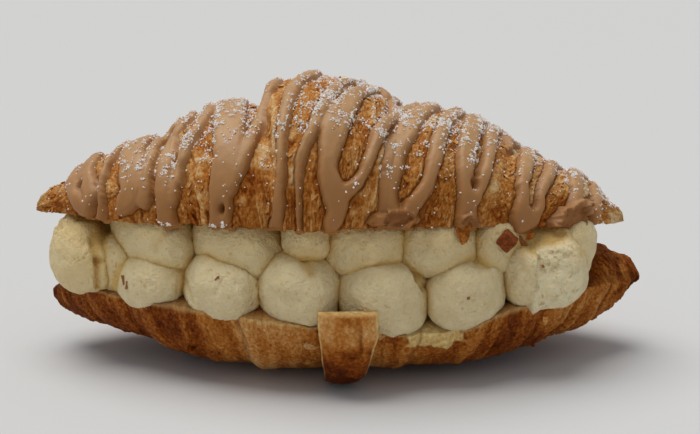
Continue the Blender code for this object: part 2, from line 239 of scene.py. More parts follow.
# ---- the crust -----------------------------------------------------------------------------------

# Grid steps along the roll, round the outside of the section and over its cut.
CRUST_GRID = (780, 200, 16)

# How far the bare crust lies under the solids' surface, which stands for the top of the icing.
CRUST_SINK = 0.35

# The crust's colours from burnt to pale, evenly spaced over its tone from 0 to 1, as levels of 0 to 255.
BAKED_COLOURS = [(84, 33, 3), (140, 69, 15), (186, 116, 46), (214, 160, 96), (234, 204, 154)]

# How pale the lower half is baked along X.
BASE_TONE = [
    (-90.0, -0.17), (-76.0, -0.05), (-46.0, 0.03), (-30.0, 0.23), (-22.0, 0.32), (-12.0, 0.22),
    (10.0, 0.2), (20.0, 0.08), (30.0, 0.09), (46.0, 0.0), (54.0, 0.03), (64.0, 0.16), (76.0, 0.14),
    (88.0, 0.05), (94.0, -0.25),
]

# Where the ragged rims start, as turned, with 1 at the rim itself.
RIM_FROM = 0.93
# The strip of crumb laid bare along the front rim of the lower half, to the right of the tail: from X to X.
BARE_STRIP = (18.0, 36.5)

# Bundles of laminated sheets seen edge on: the width of a sheet, how high its edge stands, and how far it
# runs before its height has changed. Then how the sheets wander, as sizes and distances, and the size of a
# bundle.
SHEETS = [(2.4, 0.9, 12.0), (1.0, 0.75, 8.0)]
SHEET_WANDERS = [(14.0, 1.6), (4.5, 0.7), (1.9, 0.25)]
BUNDLE_SIZE = (6.0, 26.0, 1.0)
# A step through the noise that leaves neighbouring sheets nothing in common.
SHEET_STEP = 7.31

# Torn skin in thin layers: the size of a tear across and along the roll, the number of layers either side
# of the mean, the height from the lowest to the mean one, and the part of a layer its torn edge takes.
SKIN_SIZE = (3.6, 9.0)
SKIN_LAYERS = 2.2
SKIN_HEIGHT = 0.75
SKIN_EDGE = 0.2

# Blistered skin, where the sheets hardly show: (u, turned, radius, how much paler it is).
BLISTERS = [
    (-30.7, 0.75, 4.4, -0.12), (-44.8, 0.61, 3.6, 0.24), (56.3, 0.28, 4.4, 0.28), (-47.2, 0.85, 2.8, 0.2),
    (-33.6, 0.88, 3.0, 0.0), (57.2, 0.93, 3.6, 0.12), (10.3, 0.36, 2.6, 0.12), (31.3, 0.41, 2.2, 0.24),
    (67.0, 0.8, 2.6, 0.0), (-41.0, 0.2, 3.4, 0.26), (6.0, 0.88, 4.0, 0.18), (-26.0, -0.5, 6.0, 0.2),
    (38.0, -0.45, 6.5, 0.1), (5.0, -0.7, 7.0, 0.2), (-56.0, -0.5, 5.0, 0.0), (60.0, -0.4, 4.5, 0.2),
]

# ---- the icing -----------------------------------------------------------------------------------

# Bands of icing as piped over the front: (u, turned, half width) from the crest down.
ICING_BANDS = [
    [(-79.8, 0.0, 1.9), (-82.4, 0.29, 2.3), (-82.8, 0.64, 2.6), (-82.2, 0.85, 2.3), (-80.9, 0.9, 2.0)],
    [(-74.2, 0.0, 2.2), (-76.8, 0.16, 2.8), (-78.9, 0.42, 2.7), (-78.9, 0.72, 2.4), (-80.9, 0.89, 2.0)],
    [(-64.6, 0.0, 1.5), (-68.4, 0.12, 1.4), (-72.1, 0.35, 1.2), (-74.9, 0.58, 1.0), (-76.5, 0.79, 1.0),
     (-77.7, 0.97, 1.2)],
    [(-57.7, 0.0, 2.6), (-62.9, 0.18, 3.3), (-66.3, 0.5, 3.8), (-67.3, 0.7, 3.8), (-69.8, 0.82, 3.2),
     (-72.0, 0.9, 1.6)],
    [(-47.8, 0.0, 1.5), (-51.9, 0.06, 1.5), (-56.3, 0.2, 1.5), (-59.5, 0.41, 1.5), (-61.8, 0.57, 1.4),
     (-63.6, 0.7, 1.7), (-65.2, 0.84, 1.9)],
    [(-38.5, 0.0, 1.6), (-42.5, 0.24, 1.6), (-46.8, 0.36, 1.7), (-49.5, 0.48, 1.7), (-52.2, 0.58, 1.6),
     (-54.8, 0.72, 1.6), (-57.4, 0.84, 1.8)],
    [(-44.8, 0.0, 1.8), (-50.5, 0.2, 2.1), (-54.4, 0.42, 2.3), (-57.8, 0.66, 2.3), (-59.6, 0.83, 2.3),
     (-60.6, 0.99, 2.5)],
    [(-32.2, 0.02, 4.0), (-34.4, 0.36, 4.0), (-36.0, 0.54, 3.8), (-37.5, 0.64, 3.7), (-40.5, 0.77, 3.1),
     (-41.9, 0.86, 2.8), (-43.8, 1.01, 2.8)],
    [(-19.5, 0.0, 1.7), (-23.1, 0.22, 1.8), (-27.8, 0.44, 1.7), (-30.9, 0.57, 1.7), (-34.2, 0.69, 1.7),
     (-37.6, 0.78, 1.7)],
    [(-8.7, 0.0, 2.3), (-12.5, 0.12, 2.1), (-14.9, 0.26, 1.9), (-16.8, 0.4, 1.6), (-18.2, 0.53, 1.3),
     (-19.6, 0.74, 1.1), (-20.7, 0.84, 1.2), (-21.7, 0.93, 1.5), (-23.4, 0.99, 1.9)],
    [(6.4, 0.0, 1.5), (1.1, 0.1, 1.6), (-1.3, 0.23, 1.7), (-4.0, 0.35, 1.7), (-6.6, 0.46, 1.7),
     (-9.5, 0.57, 1.5), (-12.4, 0.67, 1.2), (-13.4, 0.74, 0.9), (-14.0, 0.86, 0.7), (-14.6, 1.0, 0.7)],
    [(16.6, 0.14, 1.0), (15.6, 0.02, 1.3), (12.4, -0.03, 1.6), (9.4, 0.03, 1.9), (7.0, 0.13, 2.1),
     (4.1, 0.27, 2.6), (1.0, 0.41, 3.1), (-1.2, 0.53, 3.3), (-2.5, 0.63, 2.6), (-3.3, 0.71, 2.3),
     (-2.6, 0.78, 2.5), (-0.9, 0.85, 3.0), (-0.2, 0.91, 2.5), (-2.1, 0.98, 1.9)],
    [(22.6, 0.0, 1.8), (18.2, 0.16, 1.9), (13.9, 0.43, 1.8), (12.0, 0.56, 1.5), (10.1, 0.67, 1.4),
     (7.9, 0.76, 1.4), (4.2, 0.82, 1.7), (0.5, 0.86, 1.9)],
    [(27.4, 0.0, 2.6), (23.8, 0.2, 2.8), (21.5, 0.38, 2.9), (19.0, 0.53, 2.8), (18.0, 0.66, 2.7),
     (17.6, 0.77, 2.5), (18.2, 0.88, 2.5), (20.3, 0.97, 3.0)],
    [(35.3, 0.0, 2.0), (33.5, 0.2, 1.9), (32.5, 0.45, 1.9), (32.0, 0.64, 1.8), (30.7, 0.79, 1.8),
     (27.2, 0.89, 2.0), (25.6, 0.97, 2.2)],
    [(41.1, 0.0, 2.4), (41.5, 0.19, 2.5), (41.8, 0.41, 2.5), (42.2, 0.57, 2.3), (43.1, 0.68, 2.3),
     (44.8, 0.78, 2.5), (46.0, 0.88, 2.5), (46.8, 0.97, 2.6), (46.8, 1.04, 1.9)],
    [(52.9, 0.16, 1.0), (51.6, 0.02, 1.3), (48.9, -0.04, 1.6), (47.0, 0.03, 1.8), (47.6, 0.24, 1.8),
     (48.6, 0.46, 1.7), (48.6, 0.63, 1.7), (48.1, 0.73, 1.7), (47.2, 0.82, 2.0)],
    [(57.4, 0.0, 2.0), (58.9, 0.22, 2.1), (59.7, 0.45, 2.1), (60.3, 0.63, 1.7), (61.3, 0.74, 1.7),
     (61.9, 0.84, 2.3), (63.0, 0.93, 3.4), (63.6, 1.02, 2.6)],
    [(65.3, 0.0, 1.9), (66.1, 0.3, 1.8), (66.1, 0.53, 1.6), (65.9, 0.69, 1.5), (66.6, 0.84, 1.7),
     (65.6, 0.97, 2.2)],
    [(72.6, 0.0, 2.2), (74.4, 0.39, 2.1), (75.3, 0.6, 2.1), (75.6, 0.77, 2.1), (75.8, 0.94, 2.4)],
    [(78.4, 0.0, 1.8), (80.3, 0.42, 1.7), (80.8, 0.8, 1.4), (80.7, 1.0, 1.2)],
]
# Where icing hangs past the rim: (u, half width, how far down).
ICING_DRIPS = [(46.6, 2.6, 1.9), (63.2, 3.2, 2.2), (-60.4, 2.4, 0.9), (-2.0, 2.0, 0.4)]
# Gaps that stay open inside the icing: (u, turned, radius). Then how much narrower they are along each axis.
ICING_HOLES = [(-80.9, 0.56, 1.0), (44.3, 0.04, 1.1), (46.0, 0.72, 1.2), (-41.3, 0.9, 0.8),
               (-53.4, 0.74, 0.8)]
HOLE_SHAPE = (1.3, 0.8, 0.7)
# Broken ends of icing, hollow inside a sharp lip: middle X and Z, half width, half height and lean in
# degrees. Then the lip's height and half width, the hollow's depth, and how far out the icing goes.
ICING_BREAKS = [(15.6, 49.8, 5.2, 2.2, 0), (36.0, 47.0, 2.8, 2.8, -20), (68.4, 45.8, 5.8, 3.0, 20)]
ICING_BREAK_LIP = 1.6
ICING_BREAK_LIP_WIDTH = 0.13
ICING_BREAK_DEPTH = 1.0
ICING_BREAK_EDGE = 1.25
ICING_THICKNESS = 2.1
ICING_EDGE = 1.9
ICING_DEPTH = 1.0
ICING_GRID = (430, 260)
# How far short of the crust's left and right tips the icing and the sugar end.
ICED_SHORT = (3.0, 2.0)
# How softly neighbouring bands run together, how far round a band it is looked for, and how far outside the
# icing the rest of the crust counts as.
ICING_JOIN = 1.7
BAND_REACH = 7
FAR_OUTSIDE = 6.0
# How much wider a band sets than it was piped, how far the sheet of icing runs past the rims, as turned, and
# how many millimetres it hangs down there for each 1 of turned.
ICING_SPREAD = 1.16
OVERHANG = 0.07
RIM_DROP = 52.0
# Down the back: the part of the way that each pair of bands runs, at least and up to how much more, how far
# a band leans along the roll, and how far each of its points strays.
BACK_RUN = (0.62, 0.32)
BACK_LEAN = (4, 9)
BACK_STRAY = 0.6
# How far outside its outline the sheet of icing goes on, inside the crust.
ICING_KEPT = -0.75

# ---- sugar and crumbs ----------------------------------------------------------------------------

# Grid steps where sugar may lie, single grains, the grains' sizes, how far they lie off the surface and how
# far they stray.
SUGAR_GRID = (560, 340)
SUGAR_GRAINS = 5000
SUGAR_SIZES = (0.18, 0.4)
SUGAR_LIFT = 0.08
SUGAR_STRAY = 0.12
# A grain: its six corners and its eight faces.
OCTAHEDRON = np.array([(1, 0, 0), (-1, 0, 0), (0, 1, 0), (0, -1, 0), (0, 0, 1), (0, 0, -1)], float)
OCTAHEDRON_FACES = np.array(
    [(0, 2, 4), (2, 1, 4), (1, 3, 4), (3, 0, 4), (2, 0, 5), (1, 2, 5), (3, 1, 5), (0, 3, 5)]
)
# Clusters, the mean number of grains in one, and how many grid steps its grains stray.
CLUSTERS = 1750
CLUSTER_GRAINS = 9
CLUSTER_SPREAD = (1.4, 1.0)
# Sugar gathered at the ends of two bands: (u, turned, how many grains).
SUGAR_HEAPS = [(-61.6, 0.99, 10), (-59.4, 1.0, 12), (-45.4, 0.99, 26), (-43.4, 1.0, 26), (-41.6, 0.98, 18)]

# Where sugar has drifted on the front: X, Z and radius.
SUGAR_DRIFTS = [
    (-59.7, 61.3, 6), (-63.8, 64.7, 4), (-49.5, 62.3, 6), (-55.8, 65.0, 4), (-43.6, 72.7, 6),
    (-44.9, 68.9, 4), (-33.7, 76.5, 6), (-29.3, 75.3, 6), (-31.1, 71.2, 5), (-25.1, 73.5, 5),
    (-37.3, 67.6, 4), (-11.1, 81.2, 6), (-10.0, 76.4, 6), (-5.3, 83.9, 5), (-0.5, 78.4, 5),
    (1.1, 82.6, 4), (4.0, 75.8, 4), (12.0, 75.8, 5), (16.9, 76.1, 5), (17.0, 70.1, 5), (13.5, 64.0, 4),
    (13.4, 62.1, 3), (25.7, 73.5, 5), (24.2, 68.1, 4), (28.5, 76.2, 4), (34.5, 76.0, 5), (36.2, 73.2, 4),
    (40.8, 71.8, 5), (41.9, 66.7, 4), (38.3, 64.7, 3), (48.4, 67.1, 4), (56.2, 65.0, 4), (60.2, 61.3, 4),
    (64.3, 59.4, 4), (69.8, 56.3, 4), (76.9, 52.0, 3), (37.0, 55.5, 3), (4.0, 59.9, 3),
]

# Loose skin of the crust: how many flakes lie on the upper half, the grid of their places, the grid of one
# flake, and their lengths in millimetres. Then how far a flake leans out, its turn and how far that strays,
# its width over its length, its thickness, how far it lies off the crust, and how much paler it is.
FLAKES = 130
FLAKE_PLACES = (300, 160)
FLAKE_GRID = (13, 9)
FLAKE_SIZES = (1.0, 2.8)
FLAKE_LEANS = (4, 20)
FLAKE_TURN = (90, 35)
FLAKE_WIDTHS = (0.5, 0.9)
FLAKE_THICKNESS = 0.2
FLAKE_LIFT = 0.15
FLAKE_PALER = 0.1
# Larger flakes: the middle, the length and width, the lean outwards and the turn in degrees, and the tone.
BIG_FLAKES = [
    ((-42.3, -33.0, 9.9), 2.8, 2.0, 60, 80, 0.2), ((45.4, -33.2, 10.2), 2.8, 2.0, 55, 100, 0.22),
    ((56.3, -29.4, 10.4), 2.4, 1.6, 55, 100, 0.15), ((-7.4, -43.4, 15.0), 4.4, 3.2, 15, 20, 0.8),
    ((11.8, -44.2, 17.6), 2.6, 2.2, 20, 60, 0.75), ((59.3, -33.4, 18.6), 2.2, 1.4, 15, 75, 0.7),
    ((35.1, -36.6, 45.0), 5.2, 4.0, 12, 84, 0.42), ((54.6, -28.4, 42.4), 3.0, 1.8, 15, 40, 0.35),
    ((-1.6, -42.4, 48.6), 3.6, 2.4, 20, 30, 0.45), ((-30.6, -38.6, 47.8), 2.6, 1.8, 25, 70, 0.45),
]

# ---- the stage -----------------------------------------------------------------------------------

CAMERA_PLACE = (0.0032, -0.38796, 0.1247)
CAMERA_TILT = math.atan(275 / 1300)
CAMERA_LENS = 66.857
FLOOR_GREY = 0.66
SKY_COLOUR = (0.94, 0.97, 1.0)
SKY_STRENGTH = 0.38
SUN_COLOUR = (1.0, 0.98, 0.95)
SUN_STRENGTH = 2.05
SUN_BREADTH = math.radians(50)
SUN_FROM = (-0.24, 0.18, 1.0)


# ---- numbers over arrays -------------------------------------------------------------------------


def noise(points, size, seed=0):
    """Smooth noise from -1 to 1, with features of this size in millimetres, one number or one an axis."""
    place = np.asarray(points, float) / size + 31.7 * seed
    cell = np.floor(place).astype(np.int64)
    part = place - cell
    part = part * part * (3 - 2 * part)
    total = 0.0
    for corner in range(8):
        steps = (corner & 1, corner >> 1 & 1, corner >> 2)
        weight = 1.0
        mixed = seed * 1013904223
        for axis, (step, prime) in enumerate(zip(steps, (374761393, 668265263, 1442695041))):
            share = part[..., axis]
            weight = weight * (share if step else 1 - share)
            mixed = mixed + (cell[..., axis] + step) * prime
        mixed = (mixed ^ (mixed >> 13)) * 1274126177
        mixed = mixed ^ (mixed >> 16)
        total = total + weight * ((mixed & 0xFFFF) / 32767.5 - 1)
    return total


def rough(points, size, octaves, seed=0):
    """Noise with finer noise on it, each octave half the size and half as strong as the one before."""
    return sum(noise(points, np.asarray(size) / 2**k, seed + k) / 2**k for k in range(octaves))


def ramp(low, high, value):
    """0 below low, 1 above high, and smooth between them."""
    part = np.clip((value - low) / (high - low), 0, 1)
    return part * part * (3 - 2 * part)


def bell(value, middle, width):
    """1 in the middle, falling away smoothly to 0 on both sides."""
    return np.exp(-(((value - middle) / width) ** 2))


def power(value, exponent):
    """A power of the size of a number, with the number's sign."""
    return np.sign(value) * np.abs(value) ** exponent


def stacked(*parts):
    """Points from their coordinates, which may be single numbers, rows, columns or grids."""
    return np.stack(np.broadcast_arrays(*parts), axis=-1)


def along(line, x):
    """The height over x of a line drawn through points, smooth between them."""
    xs, zs = np.array(line).T
    index = np.arange(len(xs))
    before = np.maximum(index - 1, 0)
    after = np.minimum(index + 1, len(xs) - 1)
    slopes = (zs[after] - zs[before]) / (xs[after] - xs[before])
    x = np.clip(x, xs[0], xs[-1])
    i = np.clip(np.searchsorted(xs, x) - 1, 0, len(xs) - 2)
    width = xs[i + 1] - xs[i]
    return hermite((x - xs[i]) / width, zs[i], zs[i + 1], slopes[i] * width, slopes[i + 1] * width)


def hermite(part, start, end, start_slope, end_slope):
    """A smooth step from start to end that leaves and arrives at the given slopes."""
    p2 = part * part
    p3 = p2 * part
    return (
        (2 * p3 - 3 * p2 + 1) * start
        + (p3 - 2 * p2 + part) * start_slope
        + (3 * p2 - 2 * p3) * end
        + (p3 - p2) * end_slope
    )


def smooth_path(points, steps):
    """A smooth path through rows of numbers, with this many steps from one row to the next."""
    rows = np.array(points, float)
    padded = np.vstack([rows[0], rows, rows[-1]])
    slopes = (padded[2:] - padded[:-2]) / 2
    parts = np.linspace(0, 1, steps, endpoint=False)[:, None]
    spans = [hermite(parts, *rows[i:i + 2], *slopes[i:i + 2]) for i in range(len(rows) - 1)]
    return np.vstack(spans + [rows[-1:]])


def normals(points, middle):
    """Unit normals of a grid of points, turned away from the middle line given for each row."""
    across = np.gradient(points, axis=1)
    down = np.gradient(points, axis=0)
    found = np.cross(down, across)
    found /= np.maximum(np.linalg.norm(found, axis=-1, keepdims=True), 1e-9)
    outward = np.sign(((points - middle) * found).sum(axis=(0, 1, 2)))
    return found * outward


# ---- the rolled dough ----------------------------------------------------------------------------


def reach(x, tips):
    """How far out x is, 0 in the middle and 1 at the tip on its side."""
    return np.minimum(np.abs(x / np.where(x < 0, tips[0], tips[1])), 1.0)


def taper(x, tips):
    """How thick a half is at x, as a part of its thickness in the middle."""
    return (1 - reach(x, tips) ** PLAN_POWER) ** TIP_POWER


def swing(x):
    """How far both halves bend back at x."""
    return TIP_SWING * (x / BASE_TIPS[1]) ** 2


def turn_height(u):
    """The height of the crust's crest over the cut at u, with each edge between turns worn to a slope."""
    height = 0.0
    for number, (start, end, start_height, end_height, swell) in enumerate(TURNS):
        part = np.clip((u - start) / (end - start), 0, 1)
        bulge = swell * np.sin(np.pi * part) ** SWELL_POWER
        share = ramp(start - EDGE_WEAR, start + EDGE_WEAR, u) if number else 1.0
        if number < len(TURNS) - 1:
            share = share * (1 - ramp(end - EDGE_WEAR, end + EDGE_WEAR, u))
        height = height + share * (start_height + part * (end_height - start_height) + bulge)
    return height + along(CREST_LIFT, u)


def turn_relief(u):
    """How far the turns stand over the plain dome."""
    return turn_height(u) - TOP_DOME * taper(u, TOP_TIPS)


def edge_distance(u):
    """How far u is from the nearest edge between two turns, below 0 on the lower side of the edge."""
    nearest = np.full_like(u, 99.0)
    for (_, edge, _, end_height, _), (_, _, start_height, _, _) in zip(TURNS, TURNS[1:]):
        toward_high = (u - edge) * np.sign(start_height - end_height)
        nearest = np.where(np.abs(toward_high) < np.abs(nearest), toward_high, nearest)
    return nearest


def slanted(u, turned, tips):
    """The X of a place on the roll, whose turns slant towards the middle as they come round."""
    free = 1 - reach(u, tips) ** SLANT_FADE_POWER
    return u * (1 - TURN_SLANT * turned * free)


def edge_wander(u, turned):
    """How far the turns' edges stray along the roll."""
    return EDGE_STRAY * noise(stacked(u, 9 * turned, 0 * u), EDGE_STRAY_SIZE, 3)


def filled_relief(u):
    """The relief of the turns with the foot of each step filled, as icing lies over them."""
    steps = np.linspace(*TOP_TIPS, FILL_STEPS)
    relief = turn_relief(steps)
    weights = bell(np.arange(-FILL_REACH, FILL_REACH + 1), 0, FILL_SOFTNESS)
    blurred = np.convolve(np.pad(relief, FILL_REACH, mode="edge"), weights / weights.sum(), "valid")
    return np.interp(u, steps, np.maximum(relief, blurred))


def upper_sheet(u, turned, relief_of=turn_relief):
    """The smooth outside of the upper half. Past the rims it hangs straight down."""
    inside = np.clip(turned, -1, 1)
    past = RIM_DROP * (np.abs(turned) - np.abs(inside))
    relief = relief_of(np.clip(u + edge_wander(u, inside), *TOP_TIPS))
    angle = np.pi * (1 - inside) / 2
    x = slanted(u, inside, TOP_TIPS)
    share = taper(x, TOP_TIPS)
    width = TOP_HALF_WIDTH * share + TIP_THICKNESS + 0.5 * relief
    height = np.maximum(TOP_DOME * share + relief, TIP_THICKNESS)
    y = MIDDLE_Y + swing(x) - width * power(np.cos(angle), 2 / SECTION_POWER)
    z = along(TOP_CUT_LINE, x) + height * np.maximum(np.sin(angle), 0) ** (2 / SECTION_POWER)
    return stacked(x, y, z - past)


def upper_middle(u, turned):
    """The middle line of the upper half, at the height of the cut."""
    x = slanted(u, np.clip(turned, -1, 1), TOP_TIPS)
    return stacked(x, MIDDLE_Y + swing(x), along(TOP_CUT_LINE, x))


def like_upper(u):
    """The place on the upper half over this one on the lower, so that their turns match."""
    return u * np.where(u < 0, TOP_TIPS[0] / BASE_TIPS[0], TOP_TIPS[1] / BASE_TIPS[1])


def base_sheet(u, turned):
    """The smooth outside of the lower half, with turned -1 at its front rim, 0 under it and 1 behind."""
    relief = BASE_TURN_RELIEF * turn_relief(like_upper(u))
    angle = np.pi * (turned + 1) / 2
    x = slanted(u, turned, BASE_TIPS)
    rim = along(RIM_LINE, x)
    roundness = 2 / belly_power(x)
    drop = rim - along(BELLY_LINE, x) + relief
    width = base_half_width(x) + relief
    y = MIDDLE_Y + swing(x) - width * power(np.cos(angle), roundness)
    z = np.maximum(rim - drop * np.maximum(np.sin(angle), 0) ** roundness, 0.0)
    return stacked(x, y, z)


def base_half_width(x):
    """Half the width of the lower half between its rims."""
    return BASE_HALF_WIDTH * taper(x, BASE_TIPS) + TIP_THICKNESS


def belly_power(x):
    """How square the lower half's section is at x."""
    return BELLY_POWER_SIDES + bell(x, 0, BELLY_TUCK) * (BELLY_POWER_MIDDLE - BELLY_POWER_SIDES)


def uncut_rise(x, across):
    """How far the whole crust of the right end stands over the line of the rims."""
    return along(UNCUT_RISE, x) * (x > UNCUT_FROM) * np.sin(np.pi * np.clip(across, 0, 1)) ** 0.5


def sheets(place, run, size, length, seed):
    """Laminated dough seen edge on: the level of the sheet at each place, and how sharply it ends there."""
    number = np.floor(place / size)
    part = place / size - number
    here, after = (
        noise(stacked(SHEET_STEP * (number + step), run / length, 0), 1.0, seed) for step in (0, 1)
    )
    level = here + (after - here) * ramp(0.62, 1.0, part)
    return level, np.abs(after - here) * bell(part, 0.82, 0.16)


def torn_skin(place, points, seed):
    """Thin layers of skin torn one over another: each layer's height, the lip of its tear and the foot."""
    size = np.array([*SKIN_SIZE, 1.0])
    layer = SKIN_LAYERS * (rough(place, size, 3, seed) + 0.14 * noise(points, 0.8, seed + 7))
    number = np.floor(layer)
    part = layer - number
    height = (number + ramp(0, SKIN_EDGE, part)) / SKIN_LAYERS
    return height, bell(part, 1.2 * SKIN_EDGE, 0.13), bell(part, 0.96, 0.07)


def lamination(u, run, points, bundled, seed):
    """The crust's relief in millimetres, how pale it is, from -1 to 1, and its painted shade in cracks, from
    0 to 1.
    """
    wander = sum(height * noise(points, size, seed + k) for k, (size, height) in enumerate(SHEET_WANDERS))
    place = stacked(u + wander, run, 0 * run)
    skin, lit_lip, shaded_foot = torn_skin(place, points, seed + 40)
    bundle = np.clip(bundled + ramp(0.1, 0.45, noise(place, np.array(BUNDLE_SIZE), seed + 50)), 0, 1)
    relief = (1 - 0.5 * bundle) * SKIN_HEIGHT * (skin + 0.25 * lit_lip)
    # Paler with each higher layer, with a painted highlight on the lip of each tear.
    pale = 0.45 * skin + 0.6 * lit_lip * (1 - 0.6 * bundle)
    # Painted shade at the foot under each tear.
    shaded_crack = 0.5 * shaded_foot * (1 - 0.7 * bundle)
    for order, (size, height, length) in enumerate(SHEETS):
        level, edge = sheets(u + wander, run + 40 * order, size, length, seed + 10 + order)
        relief = relief + 0.5 * height * bundle * level
        pale = pale + 0.5 * bundle * level
        # Painted shade in the gaps where the sheets end.
        shaded_crack = np.maximum(shaded_crack, 0.75 * bundle * ramp(0.4, 1.0, edge))
    return relief, np.clip(pale, -1, 1), shaded_crack


# ---- meshes --------------------------------------------------------------------------------------


def add_mesh(name, points, faces, look, fields=None, smooth=True):
    """An object from points in millimetres and rows of corners, wound so that its faces look outwards."""
    faces = np.asarray(faces)
    if signed_volume(points, faces) < 0:
        faces = faces[:, ::-1]
    mesh = bpy.data.meshes.new(name)
    mesh.vertices.add(len(points))
    mesh.vertices.foreach_set("co", ((points - BOX_MIDDLE) * MM).astype(np.float32).ravel())
    mesh.loops.add(faces.size)
    mesh.loops.foreach_set("vertex_index", faces.astype(np.int32).ravel())
    mesh.polygons.add(len(faces))
    mesh.polygons.foreach_set("loop_start", np.arange(0, faces.size, faces.shape[1], dtype=np.int32))
    mesh.update(calc_edges=True)
    mesh.polygons.foreach_set("use_smooth", np.full(len(faces), smooth))
    for key, values in (fields or {}).items():
        values = np.asarray(values, np.float32)
        kind, slot = ("FLOAT_VECTOR", "vector") if values.ndim == 2 else ("FLOAT", "value")
        mesh.attributes.new(key, kind, "POINT").data.foreach_set(slot, values.ravel())
    mesh.materials.append(look)
    obj = bpy.data.objects.new(name, mesh)
    bpy.context.scene.collection.objects.link(obj)
    return obj


def signed_volume(points, faces):
    """A number that is above 0 where the faces of a closed mesh look outwards."""
    first, second, third = (points[faces[:, k]] for k in range(3))
    total = (first * np.cross(second, third)).sum()
    if faces.shape[1] == 4:
        total += (first * np.cross(third, points[faces[:, 3]])).sum()
    return total


def triangles(quads):
    """Two triangles from each row of four corners."""
    return np.vstack([quads[:, [0, 1, 2]], quads[:, [0, 2, 3]]])


def grid_quads(number):
    """Rows of four corners for every cell of a grid of numbered points."""
    return np.stack([number[:-1, :-1], number[1:, :-1], number[1:, 1:], number[:-1, 1:]], axis=-1)


def tube_faces(rings, count):
    """Triangles between rings of this many points each, with both ends shut by a fan to a hub."""
    here = np.arange(rings * count).reshape(rings, count)
    after = np.roll(here, -1, axis=1)
    sides = np.stack([here[:-1], after[:-1], after[1:], here[1:]], axis=-1).reshape(-1, 4)
    first, last = rings * count, rings * count + 1
    ends = [stacked(first, after[0], here[0]), stacked(last, here[-1], after[-1])]
    return np.vstack([triangles(sides), *ends])


def with_hubs(values):
    """Values over rings as one list, with the means of the first and the last ring at its end."""
    return np.concatenate([values.reshape(-1, *values.shape[2:]), values[[0, -1]].mean(axis=1)])


def add_tube(name, rings, look, fields):
    """A closed solid through an array of rings."""
    all_fields = {key: with_hubs(np.asarray(values, float)) for key, values in fields.items()}
    return add_mesh(name, with_hubs(rings), tube_faces(*rings.shape[:2]), look, all_fields)


# ---- materials -----------------------------------------------------------------------------------


def srgb(*levels):
    """A linear colour from levels of 0 to 255."""
    shares = [level / 255 for level in levels]
    return tuple(s / 12.92 if s < 0.04045 else ((s + 0.055) / 1.055) ** 2.4 for s in shares)


def new_look(name, sockets):
    """A material with numbers set on its shader, its node tree and the shader."""
    made = bpy.data.materials.new(name)
    made.use_nodes = True
    shader = made.node_tree.nodes["Principled BSDF"]
    for socket, value in sockets.items():
        shader.inputs[socket].default_value = value
    return made, made.node_tree, shader


def soft(weight, radius, scale):
    """Shader numbers for light that spreads under a surface, with the scale in millimetres."""
    return {"Subsurface Weight": weight, "Subsurface Radius": radius, "Subsurface Scale": scale * MM}


def connect(tree, value, socket):
    """Joins a socket to another node, or sets it to a number or a colour."""
    if isinstance(value, bpy.types.NodeSocket):
        tree.links.new(value, socket)
    else:
        socket.default_value = value


def add(tree, kind, inputs=None, **settings):
    """A shader node with its settings and its inputs."""
    made = tree.nodes.new("ShaderNode" + kind)
    for setting, value in settings.items():
        setattr(made, setting, value)
    for key, value in (inputs or {}).items():
        connect(tree, value, made.inputs[key])
    return made


def field(tree, name):
    """The numbers of a field of the mesh."""
    return add(tree, "Attribute", attribute_name=name).outputs["Fac"]


def colour_ramp(tree, factor, *stops):
    """A ramp of colours, evenly spaced from 0 to 1, each as levels of 0 to 255."""
    made = add(tree, "ValToRGB", {"Fac": factor})
    elements = made.color_ramp.elements
    while len(elements) < len(stops):
        elements.new(0.5)
    for number, (element, levels) in enumerate(zip(elements, stops)):
        element.position = number / (len(stops) - 1)
        element.color = (*srgb(*levels), 1.0)
    return made.outputs["Color"]


def mix(tree, factor, under, over):
    """The colour under with the colour over laid on it, the second as levels of 0 to 255 or as a socket."""
    made = add(tree, "Mix", data_type="RGBA")
    if isinstance(over, tuple):
        over = (*srgb(*over), 1.0)
    for key, kind, value in (("Factor", "VALUE", factor), ("A", "RGBA", under), ("B", "RGBA", over)):
        connect(tree, value, next(s for s in made.inputs if s.name == key and s.type == kind))
    return next(s for s in made.outputs if s.type == "RGBA")


def spread(tree, value, from_low, from_high, low, high):
    """A number moved from one range to another."""
    inputs = {"Value": value, "From Min": from_low, "From Max": from_high, "To Min": low, "To Max": high}
    return add(tree, "MapRange", inputs).outputs["Result"]


def grain(tree, place, size, detail=2.0, low=0.0, high=1.0):
    """Noise over millimetres, spread between two levels."""
    inputs = {"Vector": place, "Scale": 1 / size, "Detail": detail, "Roughness": 0.6}
    return spread(tree, add(tree, "TexNoise", inputs).outputs["Fac"], 0.3, 0.7, low, high)


def plus(tree, first, second):
    """The sum of two numbers."""
    return add(tree, "Math", {0: first, 1: second}, operation="ADD").outputs["Value"]


def scaled(tree, place, factors):
    """Coordinates, each times its own factor."""
    return add(tree, "VectorMath", {0: place, 1: factors}, operation="MULTIPLY").outputs["Vector"]


def millimetres(tree):
    """Object coordinates in millimetres."""
    return scaled(tree, add(tree, "TexCoord").outputs["Object"], (1000, 1000, 1000))


def flow(tree, stretch):
    """Coordinates that follow the roll, squeezed along the run of the sheets."""
    return scaled(tree, add(tree, "Attribute", attribute_name="flow").outputs["Vector"], (1, stretch, 1))


def bump(tree, height, distance, strength, under=None):
    """A finely uneven surface, over a coarser one if that is given."""
    inputs = {"Height": height, "Distance": distance * MM, "Strength": strength}
    if under is not None:
        inputs["Normal"] = under
    return add(tree, "Bump", inputs).outputs["Normal"]


